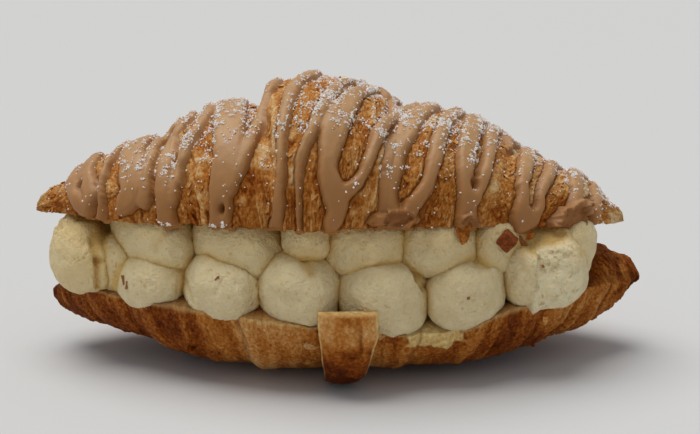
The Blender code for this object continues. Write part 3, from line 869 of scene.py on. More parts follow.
def layered_look(name, sockets, body, layers=(), bumps=()):
    """A finish from a mottled body colour, colours laid over it by fields of the mesh, and unevenness.

    The body is the size and detail of its mottling and two colours, a layer is a field and a colour, and a
    bump is the size and detail of its grain, its height in millimetres and its strength, coarsest first.
    """
    look, tree, shader = new_look(name, sockets)
    place = millimetres(tree)
    colour = colour_ramp(tree, grain(tree, place, *body[:2]), *body[2:])
    for layer, over in layers:
        colour = mix(tree, field(tree, layer), colour, over)
    connect(tree, colour, shader.inputs["Base Color"])
    normal = None
    for size, detail, height, strength in bumps:
        normal = bump(tree, grain(tree, place, size, detail), height, strength, normal)
        connect(tree, normal, shader.inputs["Normal"])
    return look, tree, shader, colour


def crust_look():
    """Baked crust: streaks of dark and golden sheets, paler blisters and crumb, painted shade in cracks."""
    gloss = {"Roughness": 0.55, "Specular IOR Level": 0.07}
    look, tree, shader = new_look("baked_crust", gloss | soft(0.05, (1.0, 0.45, 0.2), 0.8))
    place = millimetres(tree)
    rolled = flow(tree, 0.35)
    streaks = grain(tree, rolled, 0.8, 3.0, -0.12, 0.12)
    specks = grain(tree, place, 0.9, 4.0, -0.16, 0.16)
    tone = plus(tree, field(tree, "tone"), plus(tree, streaks, specks))
    baked = colour_ramp(tree, tone, *BAKED_COLOURS)
    crumb = colour_ramp(tree, grain(tree, place, 1.4, 3.0), (204, 158, 88), (248, 220, 152))
    # The dark brown laid on over the crack field is painted shade in cracks, in gaps between sheets and under
    # each torn step.
    with_crack_shade = mix(tree, field(tree, "shaded_crack"), mix(tree, field(tree, "crumb"), baked, crumb), (82, 32, 7))
    connect(tree, with_crack_shade, shader.inputs["Base Color"])
    ridges = bump(tree, grain(tree, rolled, 0.45, 3.0), 0.2, 0.8)
    fine = bump(tree, grain(tree, place, 0.35, 3.0), 0.12, 0.7, ridges)
    connect(tree, fine, shader.inputs["Normal"])
    return look


def cream_look():
    """Whipped ivory cream: matt, a little see-through, with yellower painted shade where two swirls press
    together.
    """
    gloss = {"Roughness": 0.62, "Specular IOR Level": 0.3} | soft(0.4, (1.0, 0.8, 0.45), 2.0)
    look, tree, shader, colour = layered_look(
        "ivory_cream", gloss,
        (5.0, 2.0, (233, 213, 165), (245, 226, 181)),
        # The first layer is broken cream painted paler, partly its fresher colour and partly painted light;
        # the second is painted shade.
        [("fresh_and_lit", (253, 234, 192)), ("cream_shade", (230, 192, 116))],
        [(2.0, 3.0, 0.7, 0.9), (0.65, 3.0, 0.26, 1.0)],
    )
    inputs = {"Vector": millimetres(tree), "Scale": 0.22, "Randomness": 1.0}
    dots = spread(tree, add(tree, "TexVoronoi", inputs).outputs["Distance"], 0.03, 0.06, 0.5, 0.0)
    connect(tree, mix(tree, dots, colour, (176, 138, 76)), shader.inputs["Base Color"])
    return look


def icing_look():
    """Set coffee icing: smooth and satin, darker where it is thin, with painted shade low down and at the
    left end.
    """
    return layered_look(
        "coffee_icing", {"Roughness": 0.42, "Specular IOR Level": 0.25} | soft(0.25, (1.0, 0.5, 0.25), 1.2),
        (6.0, 3.0, (182, 138, 92), (194, 152, 106)),
        [("low", (164, 112, 62)), ("thin", (154, 98, 46))],
        [(1.1, 3.0, 0.08, 0.5)],
    )[0]


def caramel_look():
    """Caramel sponge with an open, uneven crumb."""
    return layered_look(
        "caramel_sponge", {"Roughness": 0.5, "Specular IOR Level": 0.2},
        (0.8, 3.0, (98, 38, 6), (160, 82, 24)),
        [("pale", (176, 122, 66))],
        [(0.5, 2.0, 0.25, 0.9)],
    )[0]


def sugar_look():
    """White grains of icing sugar."""
    gloss = {"Roughness": 0.7, "Subsurface Weight": 0.2, "Subsurface Scale": 0.4 * MM}
    return layered_look("icing_sugar", gloss, (0.9, 2.0, (242, 230, 223), (255, 250, 246)))[0]


# ---- the two halves of pastry --------------------------------------------------------------------


def roll_grid(tips, steps, front=1.0, short=(0.0, 0.0)):
    """Places (u, turned) all over a half, from its front rim to its back one, and short of its tips."""
    u = np.linspace(tips[0] + short[0], tips[1] - short[1], steps[0])[:, None]
    return u, np.linspace(front, -front, steps[1])[None, :]


def closing_in(u, tips, distance):
    """1 along a half, and falling to 0 over this distance before each tip, where the surfaces meet."""
    return ramp(0, distance, u - tips[0]) * ramp(0, distance, tips[1] - u)


def over_cut(outer):
    """Points straight across the cut of each ring, from rim to rim, and the part of the way to each."""
    part = np.linspace(0, 1, CRUST_GRID[2] + 2)[None, 1:-1, None]
    return outer[:, -1:] + part * (outer[:, :1] - outer[:, -1:]), part[..., 0]


def on_rings(outside, cut):
    """A field over whole rings, from one over the outside and one over the cut."""
    count, around, under = CRUST_GRID
    values = np.empty((count, around + under))
    values[:, :around] = outside
    values[:, around:] = cut
    return values


def blister_masks(points, seed):
    """Where the crust is blistered skin, from 0 to 1, and how much paler it is there."""
    patch = ramp(0.25, 0.6, rough(points, 13.0, 2, seed))
    paler = np.full_like(patch, 0.18)
    for u, turned, radius, tone in BLISTERS:
        away = np.linalg.norm(points - upper_sheet(u, turned), axis=-1)
        near = ramp(1.3 * radius, 0.7 * radius, away)
        patch = np.maximum(patch, near)
        paler = paler + near * (tone - paler)
    return patch, paler


def upper_fields(u, turned):
    """The upper half's crust: the smooth surface, its normals, the relief, tone with painted light and shade,
    painted shade in cracks, and icing.
    """
    smooth = upper_sheet(u, turned)
    outward = normals(smooth, upper_middle(u, turned))
    inside = icing_field(smooth, u, turned)
    edge = edge_distance(u + edge_wander(u, turned))
    bundled = 0.8 * ramp(6.0, 2.5, np.abs(edge - 2.5)) * ramp(-1.2, -0.4, noise(smooth, 12.0, 44))
    relief, pale, shaded_crack = lamination(u, TOP_GIRTH * turned + 0 * u, smooth, bundled, 1)
    blister, paler = blister_masks(smooth, 40)
    bubbles = rough(smooth, 2.2, 3, 50)
    relief = relief * (1 - 0.5 * blister) + 0.4 * blister * bubbles + 0.12 * rough(smooth, 1.1, 2, 60)
    tone = 0.53 + 0.32 * pale * (1 - 0.5 * blister) + blister * (paler + 0.3 * bubbles)
    # Tone that differs at random, and painted shade: darker lower down, towards both rims.
    tone = tone + 0.1 * rough(smooth, 6.0, 2, 70) - 0.16 * ramp(0.5, 1.0, np.abs(turned))
    # A painted highlight on the lip of each turn, on its higher side.
    tone = tone + 0.16 * bell(edge, 1.6, 1.2)
    covered = ramp(-0.9, 0.5, inside)
    relief = relief * (1 - 0.85 * covered) - 0.35 * covered
    # Painted shade in the crevice along the icing's edges.
    crevice_shade = 0.65 * bell(inside, -0.25, 0.4)
    shaded_crack = np.clip(np.maximum(shaded_crack * (1 - 0.6 * blister), crevice_shade), 0, 1)
    return smooth, outward, relief - CRUST_SINK - 0.25 * shaded_crack, tone, shaded_crack, inside


def dust_over(points, outward):
    """How thickly icing sugar lies: most near the crest, in drifts."""
    facing = ramp(0.35, 0.95, outward[..., 2])
    drifts = 0.42 + 0.6 * rough(points, 9.0, 3, 90)
    thick = np.clip(facing * drifts, 0, 1) * (0.2 + 0.8 * ramp(-78, -48, points[..., 0]))
    for x, z, radius in SUGAR_DRIFTS:
        away = np.hypot(points[..., 0] - x, points[..., 2] - z) / radius
        heaped = ramp(1.0, 0.2, away) * (0.6 + 0.4 * noise(points, 2.2, 93)) * (outward[..., 1] < 0.2)
        thick = np.maximum(thick, 0.85 * heaped)
    return thick


def make_upper_half(look):
    """The upper half's crust, with ragged rims and a cut that is a little hollow."""
    u, turned = roll_grid(TOP_TIPS, CRUST_GRID)
    smooth, outward, relief, tone, shaded_crack, _ = upper_fields(u, turned)
    closing = closing_in(u, TOP_TIPS, 2.5)
    outer = smooth + outward * (relief * (0.35 + 0.65 * closing))[..., None]
    rag = 0.45 * rough(outer, 2.6, 3, 80) - 0.15
    outer[..., 2] += ramp(RIM_FROM, 1.0, np.abs(turned)) * rag * closing
    cut, part = over_cut(outer)
    hollow = np.sin(np.pi * part) ** 0.3
    cut[..., 2] = along(TOP_CUT_LINE, cut[..., 0]) + hollow * (0.5 + 0.5 * rough(cut, 3.0, 3, 85)) * closing
    crumb = on_rings(0, 1)
    fields = {
        "tone": on_rings(tone, 0.6),
        "shaded_crack": on_rings(shaded_crack, 0),
        "crumb": crumb,
        "flow": stacked(on_rings(u, 0), on_rings(TOP_GIRTH * turned, 0), crumb),
    }
    return add_tube("upper_crust", np.concatenate([outer, cut], axis=1), look, fields)


def lower_fields(u, turned, smooth):
    """The lower half's crust: its relief, its tone with painted light and shade, and the painted shade in its
    cracks.
    """
    run = BASE_GIRTH * turned + 0 * u
    x, height = smooth[..., 0], smooth[..., 2]
    edge = edge_distance(like_upper(u) + 1.3 * noise(smooth, 5.0, 47) + 0 * run)
    relief, level, shaded_crack = lamination(0.9 * u + 0 * run, 0.7 * run, smooth, 0.65 + 0 * run, 5)
    pale = pale_near_tail(smooth)
    flat = ramp(4.0, 0.5, height)
    brushed = rough(stacked(u + 0.8 * noise(smooth, 3.0, 48), 0.1 * run, 0 * run), 1.8, 3, 74)
    relief = (0.5 + 0.6 * ramp(52, 72, x)) * relief * (1 - 0.6 * pale) + 0.34 * brushed
    relief = relief + 0.5 * ramp(-0.9, 0.7, edge) * ramp(9, 3, edge)
    relief = relief * (1 - flat) + 0.1 * rough(smooth, 1.6, 2, 61) - 0.45
    tone = 0.21 + 0.08 * level + 0.14 * brushed + 0.08 * rough(smooth, 7.0, 2, 71) + 0.1 * pale
    # A painted highlight on the lip of each turn's step, and painted shade low down: paler higher up.
    tone = tone + 0.08 * bell(edge, 1.3, 1.2) + along(BASE_TONE, x) + 0.06 * ramp(14, 21, height)
    # Painted shade in the cracks and at the foot of each step.
    shaded_crack = np.maximum(0.6 * shaded_crack, 0.4 * bell(edge, -0.7, 0.6))
    return relief, tone, np.clip(shaded_crack * (1 - flat), 0, 1)


def rim_crumb(smooth, turned):
    """Where crumb shows outside the lower half: in a thin line along its rims, and in the bare strip."""
    x = smooth[..., 0]
    wavy = rough(smooth, 3.5, 3, 75)
    line = 0.45 * ramp(0.97, 0.995, np.abs(turned)) * ramp(74, 60, x) * ramp(-84, -60, x)
    bare_from, bare_to = BARE_STRIP
    strip = ramp(bare_from, bare_from + 1.0, x + 2.0 * wavy) * ramp(bare_to, bare_to - 1.5, x + 3.0 * wavy)
    return np.maximum(line, strip * ramp(-0.89, -0.91, turned + 0.06 * wavy))


def make_lower_half(look):
    """The lower half's crust, and the whole crust that closes over its cut at the right end."""
    u, turned = roll_grid(BASE_TIPS, CRUST_GRID, -1.0)
    smooth = base_sheet(u, turned)
    middle_x = slanted(u, turned, BASE_TIPS)
    outward = normals(smooth, stacked(middle_x, MIDDLE_Y + swing(middle_x), along(RIM_LINE, middle_x)))
    relief, tone, shaded_crack = lower_fields(u, turned, smooth)
    closing = closing_in(u, BASE_TIPS, 3.0)
    outer = smooth + outward * (relief * closing)[..., None]
    outer[..., 2] = np.maximum(outer[..., 2], 0.0)
    outer[..., 2] += ramp(RIM_FROM, 1.0, np.abs(turned)) * 0.45 * rough(outer, 2.8, 3, 81) * closing
    cut, part = over_cut(outer)
    x = cut[..., 0]
    bare_from, bare_to = BARE_STRIP
    swell = CUT_SWELL * taper(x, (BASE_TIPS[0], UNCUT_FROM)) * np.sin(np.pi * part) ** 0.25
    whole = ramp(UNCUT_FROM + 2, UNCUT_FROM + 5, x)
    cut_relief, cut_level, cut_shaded_crack = lamination(0.9 * x, CUT_GIRTH * part + 0 * whole, cut, whole, 6)
    ragged = 0.4 * rough(cut, 2.5, 3, 86) * closing
    cut[..., 2] = along(RIM_LINE, x) + swell + uncut_rise(x, part) + ragged
    cut[..., 2] += 0.9 * whole * cut_relief * closing
    strip = ramp(bare_from + 0.5, bare_from + 2.5, x) * ramp(bare_to - 1.5, bare_to - 3.5, x)
    # Outside the bare strip the cut shows hardly any crumb and takes a low tone below: painted shade on the
    # cut under and between the swirls.
    crumb = on_rings(rim_crumb(smooth, turned), ramp(78, 74, x) * (0.06 + 0.94 * strip))
    run = on_rings(BASE_GIRTH * turned, BASE_GIRTH + CUT_GIRTH * part)
    fields = {
        "tone": on_rings(tone, 0.1 + whole * (0.2 + 0.3 * cut_level)),
        "shaded_crack": on_rings(shaded_crack, whole * cut_shaded_crack),
        "crumb": crumb,
        "flow": stacked(on_rings(u, x), run, crumb),
    }
    return add_tube("lower_crust", np.concatenate([outer, cut], axis=1), look, fields)


def pale_near_tail(points):
    """The less baked dough on both sides of the tail, from 0 to 1."""
    beside = np.abs(points[..., 0] - TAIL_MIDDLE_X)
    low = ramp(18, 10, points[..., 2]) * (points[..., 1] < 0)
    return low * ramp(28, 14, beside + 4 * noise(points, 8.0, 33))


def make_tail(look):
    """The tongue of dough: a bent plate with a crowned face, pale edges and a skin lifted on its right."""
    path = smooth_path(TAIL_LINE, TAIL_STEPS)
    part = np.linspace(0, 1, len(path))[:, None]
    angle = np.linspace(0, 2 * np.pi, TAIL_AROUND, endpoint=False)[None, :]
    half = 0.5 * (TAIL_WIDTHS[0] + part**TAIL_NARROWING * (TAIL_WIDTHS[1] - TAIL_WIDTHS[0]))
    end = np.minimum(ramp(-0.02, 0.05, part), ramp(1.02, 0.9, part))
    across = power(np.cos(angle), 2 / TAIL_SQUARE)
    through = power(np.sin(angle), 2 / TAIL_ROUND)
    thickness = TAIL_THICKNESS * (1 + TAIL_THICKENING * ramp(0.3, 0.6, part))
    down = path[:, 1:2]
    x = TAIL_MIDDLE_X + TAIL_BEND * part**2 + 0.5 * noise(stacked(0, down, 0), 4.0, 118) + half * across
    y = path[:, 0:1] + thickness / 2 * (1 + end * through) - TAIL_CROWN * (1 - across**2) * (through < 0)
    z = down + 0 * angle
    rings = stacked(x, y, z)
    outward = normals(rings, rings.mean(axis=1, keepdims=True))
    torn_at = 0.42 + 0.3 * rough(stacked(0, 0, z), 3.6, 3, 130)
    face = (ramp(0.2, -0.3, through) + 0 * part) * ramp(0.06, 0.14, part) * ramp(0.9, 0.75, part)
    lifted = ramp(-0.02, 0.05, across - torn_at) * face
    seam = bell(across - torn_at, -0.03, 0.05) * face
    rings = rings + outward * (0.2 * rough(rings, 3.5, 3, 120) + 0.45 * lifted - 0.3 * seam)[..., None]
    edges = ramp(0.9, 0.98, np.abs(across)) * (1 - 0.7 * ramp(0.4, 0.9, part)) + ramp(0.05, 0.0, part)
    fields = {
        # Darker towards the bottom as painted shade where the tongue curves under, and a painted shadow along
        # the seam under the lifted skin.
        "tone": 0.56 + 0.1 * rough(rings, 3.5, 3, 126) - 0.6 * ramp(0.1, 0.85, part) + 0.08 * lifted,
        "shaded_crack": 0.6 * seam,
        "crumb": np.clip(0.8 * edges, 0, 0.8),
        "flow": stacked(0.3 * x, 0.4 * z, 0.3 * y),
    }
    return add_tube("dough_tail", rings, look, fields)


# ---- the cream -----------------------------------------------------------------------------------


def swirl_ends(name):
    """Where a swirl ends along Y in front and behind, before its ends are pushed after the rims."""
    x, *_, proud = CREAM[name]
    middle = MIDDLE_Y + swing(x)
    half = base_half_width(x)
    return middle - half - proud, middle + half + REAR_PROUD_SHARE * proud


def cap_length(name):
    """How long the rounded part at each end of a swirl is."""
    return CREAM_CAP * (CREAM[name][2] + CREAM[name][3]) / 2


def swirl_radius(name, angle, y):
    """The distance from a swirl's middle line to its surface, which the upper half presses flat on top."""
    x, z, half_width, half_height, lean, _ = CREAM[name]
    front, back = swirl_ends(name)
    sagging = 1 - CREAM_SAG * np.maximum(-np.sin(angle), 0)
    part = np.clip(np.minimum(y - front, back - y) / (cap_length(name) * sagging), 1e-4, 1)
    share = (1 - (1 - part) ** CREAM_CAP_POWER) ** (1 / CREAM_CAP_POWER)
    turned = angle - math.radians(lean)
    corner = 2 + CREAM_SQUARE * ramp(0.1, -0.6, np.sin(angle))
    across, up = np.abs(np.cos(turned) / half_width), np.abs(np.sin(turned) / half_height)
    free = share / (across**corner + up**corner) ** (1 / corner)
    ceiling = along(TOP_CUT_LINE, x) + CREAM_TOP_SWELL - z
    upward = np.maximum(np.sin(angle), 0) / ceiling
    return (free**-CREAM_SOFTNESS + upward**CREAM_SOFTNESS) ** (-1 / CREAM_SOFTNESS)


def crowding(name, points):
    """How near each point is to another swirl, from 0 when it is well clear to 1 when it is inside."""
    deepest = np.full(points.shape[:-1], -9.0)
    for other, (x, z, half_width, *_) in CREAM.items():
        if other == name or abs(x - CREAM[name][0]) > 2.5 * half_width:
            continue
        across = points[..., 0] - x
        up = points[..., 2] - z
        level = points[..., 1] - rim_shift(other, points[..., 0], points[..., 1])
        radius = swirl_radius(other, np.arctan2(up, across), level)
        deepest = np.maximum(deepest, radius - np.hypot(across, up))
    return 0.7 * ramp(-1.2, 0.3, deepest) + 0.3 * ramp(-5.0, -0.5, deepest)


def rim_shift(name, x, y):
    """How far a swirl is pushed along Y at x, so that its ends follow the rims of the lower half."""
    x0 = CREAM[name][0]
    front, back = swirl_ends(name)
    narrower = base_half_width(x0) - base_half_width(np.clip(x, x0 - 15, x0 + 15))
    side = np.clip(1 - 2 * (y - front) / (back - front), -1, 1)
    return RIM_FOLLOW.get(name, 1.0) * side * narrower + swing(x) - swing(x0)


def crease_depth(name, points):
    """How deep the creases of a swirl are at its points, in millimetres."""
    depth = np.zeros(points.shape[:-1])
    at = points[..., [0, 2]]
    for x0, z0, x1, z1, deep, half in CREASES.get(name, []):
        start = np.array([x0, z0])
        span = np.array([x1, z1]) - start
        part = np.clip(((at - start) @ span) / (span @ span), 0, 1)
        away = np.linalg.norm(at - start - part[..., None] * span, axis=-1)
        depth = depth + deep * bell(away, 0, half) * (points[..., 1] < 0)
    return depth


def pit_depth(points, seed):
    """Small burst bubbles in the front and the back of a swirl."""
    rng = np.random.default_rng(seed)
    flat = points.reshape(-1, 3)
    depth = np.zeros(len(flat))
    ends = np.flatnonzero(np.abs(flat[:, 1] - flat[:, 1].mean()) > 0.42 * np.ptp(flat[:, 1]))
    for middle in flat[rng.choice(ends, CREAM_PITS)]:
        radius = rng.uniform(*PIT_SIZES)
        away = np.linalg.norm((flat - middle) * [1, 1, rng.uniform(0.6, 1.4)], axis=1)
        depth = np.maximum(depth, 0.7 * radius * bell(away, 0, radius))
    return depth.reshape(points.shape[:-1])


def torn_face(points, front):
    """Shapes the front of the swirl at the right end: broken off right of its ridge, and hollow on top.

    It changes the points, and gives its painted shade, and where its broken face is painted paler: partly
    fresh cream, partly painted light.
    """
    x, y, z = np.moveaxis(points, -1, 0)
    up = z - CREAM["cream_right_end"][1]
    past = x - TORN_FROM - TORN_LEAN * up
    crooked = points @ CROOKED + 0.6 * noise(points, 1.3, 94)[..., None]
    holes = ramp(0.1, 0.6, noise(crooked, 1.9, 95) + 0.4 * noise(crooked, 0.8, 96))
    crumbly = TORN_CRUMB * rough(crooked, 2.8, 4, 90) + TORN_HOLES * holes
    face = front + TORN_DEPTH + TORN_SLOPE * past + TORN_RISE * up
    y = np.where(past > 0, np.maximum(y, face), y)
    y = y + crumbly * ramp(0.0, 1.2, past) * ramp(front + 10, front + 5, y)
    hollow = front + HOLLOW_SLOPE * (z - HOLLOW_FROM + 0.5 * rough(points, 5.0, 2, 97))
    points[..., 1] = HOLLOW_SOFTNESS * np.logaddexp(y / HOLLOW_SOFTNESS, hollow / HOLLOW_SOFTNESS)
    # Painted shade in the hollow on top and in the holes of the broken face.
    cream_shade = ramp(0.3, 3.4, points[..., 1] - y) + 0.12 * ramp(0.4, 1.2, crumbly) * (past > 0)
    # Its broken face painted paler, partly as fresh cream and partly as painted light.
    return cream_shade, ramp(-0.6, 0.6, past) * ramp(front + 10, front + 6, y)


def snapped_top(points, outward, front):
    """The top of the swirl at the left end: snapped off rough on its left and pressed in on its right.

    It gives new points, its painted shade, and where the snapped part is painted paler: partly fresh cream,
    partly painted light.
    """
    behind = ramp(front + 7, front + 12, points[..., 1]) * ramp(*SNAPPED_HEIGHTS, points[..., 2])
    ragged = ramp(*SNAPPED_X, points[..., 0])
    change = ragged * (0.5 + 1.3 * rough(points, 2.0, 3, 98)) - SNAPPED_DEPTH * (1 - ragged)
    # Its snapped part painted paler, partly as fresh cream and partly as painted light.
    return points + outward * (behind * change)[..., None], 0.3 + behind * (1 - ragged), behind * ragged


def make_swirl(name, seed, look):
    """One swirl of cream, from the front to the back, with its creases, burst bubbles and pressed sides."""
    x, z = CREAM[name][:2]
    front, back = swirl_ends(name)
    cap = cap_length(name)
    finer = 2 if name == "cream_right_end" else 1
    angle = np.linspace(0, 2 * np.pi, finer * CREAM_AROUND, endpoint=False)[None, :]
    part = np.linspace(CREAM_CAP_START, 1, finer * CREAM_CAP_RINGS) ** CREAM_CAP_CROWDING
    middle = np.linspace(front + cap, back - cap, CREAM_MIDDLE_RINGS + 2)[1:-1]
    y = np.concatenate([front + cap * part, middle, back - cap * part[::-1]])[:, None]
    radius = swirl_radius(name, angle, y)
    rings = stacked(x + radius * np.cos(angle), y, z + radius * np.sin(angle))
    outward = normals(rings, np.array([x, 0.5 * (front + back), z]))
    bumps = 0.9 * rough(rings, 10.0, 2, seed) + 0.25 * rough(rings, 2.4, 3, seed + 3)
    creases = crease_depth(name, rings)
    pits = pit_depth(rings, seed)
    rings = rings + outward * (bumps - creases - pits)[..., None]
    # Painted shade on the upper swirls, under the crust that hangs over them.
    shaded = 0.35 * ramp(34.0, 46.0, rings[..., 2])
    rings[..., 1] += rim_shift(name, rings[..., 0], rings[..., 1])
    # Painted shade, yellower, where swirls press together, under the crust, in creases and in burst bubbles.
    cream_shade = crowding(name, rings) + shaded + 0.6 * ramp(0.3, 1.4, creases) + 0.6 * (pits > 0.2)
    fresh_and_lit = np.zeros_like(cream_shade)
    if name == "cream_right_end":
        more, fresh_and_lit = torn_face(rings, front)
        cream_shade = cream_shade + more
    elif name == "cream_left_end":
        rings, more, fresh_and_lit = snapped_top(rings, outward, front)
        cream_shade = cream_shade + more
    elif name == "cream_right_swirl":
        cream_shade = 0.4 * cream_shade
    return add_tube(name + "_piped", rings, look, {"cream_shade": np.clip(cream_shade, 0, 1), "fresh_and_lit": fresh_and_lit})


# ---- the icing -----------------------------------------------------------------------------------


def whole_bands(rng):
    """Each band from the front over the crest, and on down the back, where neighbours join in turn."""
    bands = []
    last_end = None
    for index, band in enumerate(ICING_BANDS):
        crest = next(p for p in band if abs(p[1]) < 0.05)
        if index % 2 == 0:
            down = BACK_RUN[0] + BACK_RUN[1] * rng.random()
        lean = rng.uniform(*BACK_LEAN)
        behind = [
            (crest[0] + lean * part + rng.normal(0, BACK_STRAY), -part, crest[2] * rng.uniform(0.75, 1.15))
            for part in np.arange(0.2, down, 0.2)
        ]
        bands.append(smooth_path(list(reversed(behind)) + band[band.index(crest):], 14))
        if band.index(crest):
            bands.append(smooth_path(band[: band.index(crest) + 1], 14))
        if index % 2:
            middle = ((last_end[0] + behind[-1][0]) / 2, -down, 1.9)
            bands.append(smooth_path([last_end, middle, behind[-1]], 20))
        last_end = behind[-1]
    return bands


def icing_field(points, u, turned):
    """How far each point lies inside the icing's outline, in millimetres, below 0 outside it."""
    joined = np.full(points.shape[:-1], math.exp(-ICING_JOIN * FAR_OUTSIDE))
    for band in whole_bands(np.random.default_rng(11)):
        line = upper_sheet(band[:, 0], band[:, 1])
        low, high = line.min(axis=0) - BAND_REACH, line.max(axis=0) + BAND_REACH
        near = np.all((points > low) & (points < high), axis=-1)
        at = points[near]
        best = np.full(len(at), -9.0)
        for middle, half in zip(line, band[:, 2]):
            best = np.maximum(best, ICING_SPREAD * half - np.linalg.norm(at - middle, axis=-1))
        joined[near] += np.exp(ICING_JOIN * best)
    inside = np.log(joined) / ICING_JOIN + 0.3 * rough(points, 2.6, 3, 150)
    for hole_u, hole_turned, radius in ICING_HOLES:
        away = np.linalg.norm((points - upper_sheet(hole_u, hole_turned)) * HOLE_SHAPE, axis=-1)
        inside = np.minimum(inside, away - radius)
    for broken in ICING_BREAKS:
        past_lip = ICING_BREAK_EDGE - break_distance(points, *broken)
        inside = np.maximum(inside, min(broken[2:4]) * past_lip)
    hang = 0.2 + 0.4 * noise(points, 2.6, 155)
    for drip_u, half, depth in ICING_DRIPS:
        hang = np.maximum(hang, depth * (1 - ((u - drip_u) / half) ** 2) * (turned > 0))
    return np.minimum(inside, hang - RIM_DROP * (np.abs(turned) - 1))


def icing_height(inside):
    """The icing's height over the smooth crust, with round edges, diving under the crust outside."""
    part = np.clip(inside / ICING_EDGE, 0, 1)
    dome = ICING_THICKNESS * np.sqrt(1 - (1 - part) ** 2)
    return np.where(inside > 0, dome, np.maximum(1.4 * inside, -ICING_DEPTH))


def iced_height(inside, turned):
    """The icing's height over the smooth surface, a little thicker lower down."""
    return icing_height(inside) * (0.9 + 0.25 * ramp(0.4, 1.0, np.abs(turned))) - CRUST_SINK


def break_distance(points, x, z, half_width, half_height, lean):
    """How far each point is from the middle of a broken end of icing, with 1 at its lip."""
    cos, sin = math.cos(math.radians(lean)), math.sin(math.radians(lean))
    right, high = points[..., 0] - x, points[..., 2] - z
    across = right * cos + high * sin
    up = high * cos - right * sin
    away = np.hypot(across / half_width, up / half_height) + 0.22 * rough(points, 1.8, 2, 158)
    return np.where(points[..., 1] < 0, away, 9.0)


def icing_breaks(points):
    """The change in the icing's height at its broken ends, and how open each break is, from 0 to 1."""
    change = np.zeros(points.shape[:-1])
    opened = np.zeros(points.shape[:-1])
    for broken in ICING_BREAKS:
        away = break_distance(points, *broken)
        inner = ramp(0.95, 0.75, away)
        change = change + ICING_BREAK_LIP * bell(away, 1.0, ICING_BREAK_LIP_WIDTH) - ICING_BREAK_DEPTH * inner
        change = change + 0.35 * inner * rough(points, 0.9, 2, 159)
        opened = np.maximum(opened, inner)
    return change, opened


def make_icing(look):
    """The icing as one closed shell, whose underside lies inside the crust."""
    u, turned = roll_grid(TOP_TIPS, ICING_GRID, 1 + OVERHANG, ICED_SHORT)
    bare = upper_sheet(u, turned)
    smooth = upper_sheet(u, turned, filled_relief)
    outward = normals(smooth, upper_middle(u, turned))
    inside = icing_field(bare, u, turned)
    change, opened = icing_breaks(smooth)
    change = change * ramp(0.0, 0.8, inside) + 0.18 * rough(smooth, 4.0, 2, 152) * ramp(0.2, 1.5, inside)
    top = smooth + outward * (iced_height(inside, turned) + change)[..., None]
    bottom = bare - outward * (ICING_DEPTH + CRUST_SINK)
    points, faces, index = shell(top, bottom, grid_quads(inside > ICING_KEPT).any(axis=-1))
    thin = np.maximum(0.45 * ramp(0.7, 0.0, inside), 0.8 * opened)
    # Painted shade: darker lower down the sides and towards the left end.
    low = np.maximum(ramp(0.35, 1.0, np.abs(turned)), 0.4 * ramp(-60.0, -82.0, u))
    fields = {name: np.tile(values.ravel(), 2)[index] for name, values in (("thin", thin), ("low", low))}
    return add_mesh("coffee_icing", points, faces, look, fields)


def shell(top, bottom, keep_face):
    """A closed shell from the kept faces of two grids, one over the other, as points and triangles."""
    count, around = top.shape[:2]
    number = np.arange(count * around).reshape(count, around)
    quads = grid_quads(number)[keep_face]
    edges = np.concatenate([quads[:, [k, (k + 1) % 4]] for k in range(4)])
    ordered = np.sort(edges, axis=1)
    _, first, seen = np.unique(ordered, axis=0, return_index=True, return_counts=True)
    rim = edges[first[seen == 1]]
    far = count * around
    walls = np.stack([rim[:, 1], rim[:, 0], rim[:, 0] + far, rim[:, 1] + far], axis=-1)
    faces = triangles(np.vstack([quads, quads[:, ::-1] + far, walls]))
    index, renumbered = np.unique(faces, return_inverse=True)
    points = np.concatenate([top.reshape(-1, 3), bottom.reshape(-1, 3)])[index]
    return points, renumbered.reshape(faces.shape), index


# ---- caramel, sugar and flakes -------------------------------------------------------------------


def rounded_box():
    """The points of a box from -1 to 1 with rounded edges, and its faces."""
    steps = np.linspace(-1, 1, BOX_POINTS)
    a, b = np.meshgrid(steps, steps, indexing="ij")
    sides = []
    for axis in range(3):
        for sign in (-1, 1):
            side = np.stack([np.full_like(a, sign), a, b], axis=-1)
            sides.append(np.roll(side, axis, axis=-1))
    points = np.array(sides).reshape(-1, 3)
    rounded = points / np.maximum(np.linalg.norm(points, ord=9, axis=1, keepdims=True), 1)
    faces = []
    for side, number in enumerate(np.arange(len(points)).reshape(6, BOX_POINTS, BOX_POINTS)):
        quads = grid_quads(number).reshape(-1, 4)
        faces.append(quads if side % 2 else quads[:, ::-1])
    merged, index = np.unique(np.round(points, 6), axis=0, return_inverse=True)
    place = np.zeros((len(merged), 3))
    place[index.ravel()] = rounded
    return place, index.ravel()[np.vstack(faces)]


def merged(shapes):
    """Several meshes, given as points and faces, as one."""
    starts = np.cumsum([0] + [len(points) for points, _ in shapes])
    faces = [faces + start for (_, faces), start in zip(shapes, starts)]
    return np.vstack([points for points, _ in shapes]), np.vstack(faces)


def make_caramel(look):
    """The caramel cube, with an open crumb."""
    box, faces = rounded_box()
    shaped = 0.5 * CUBE_SIDE * box @ np.array(Euler(CUBE_TURN).to_matrix()).T
    shaped = shaped + shaped * 0.06 * rough(shaped, 1.2, 2, 160)[:, None] + np.array(CUBE_PLACE)
    return add_mesh("caramel_piece", shaped, faces, look)


def surface_y(name, x, z):
    """Where the front of a swirl is at this X and Z."""
    y = swirl_ends(name)[0] + np.linspace(0.01, cap_length(name), 400)
    across, up = x - CREAM[name][0], z - CREAM[name][1]
    reached = swirl_radius(name, math.atan2(up, across), y) > math.hypot(across, up)
    found = y[np.argmax(reached)]
    return found + rim_shift(name, x, found)


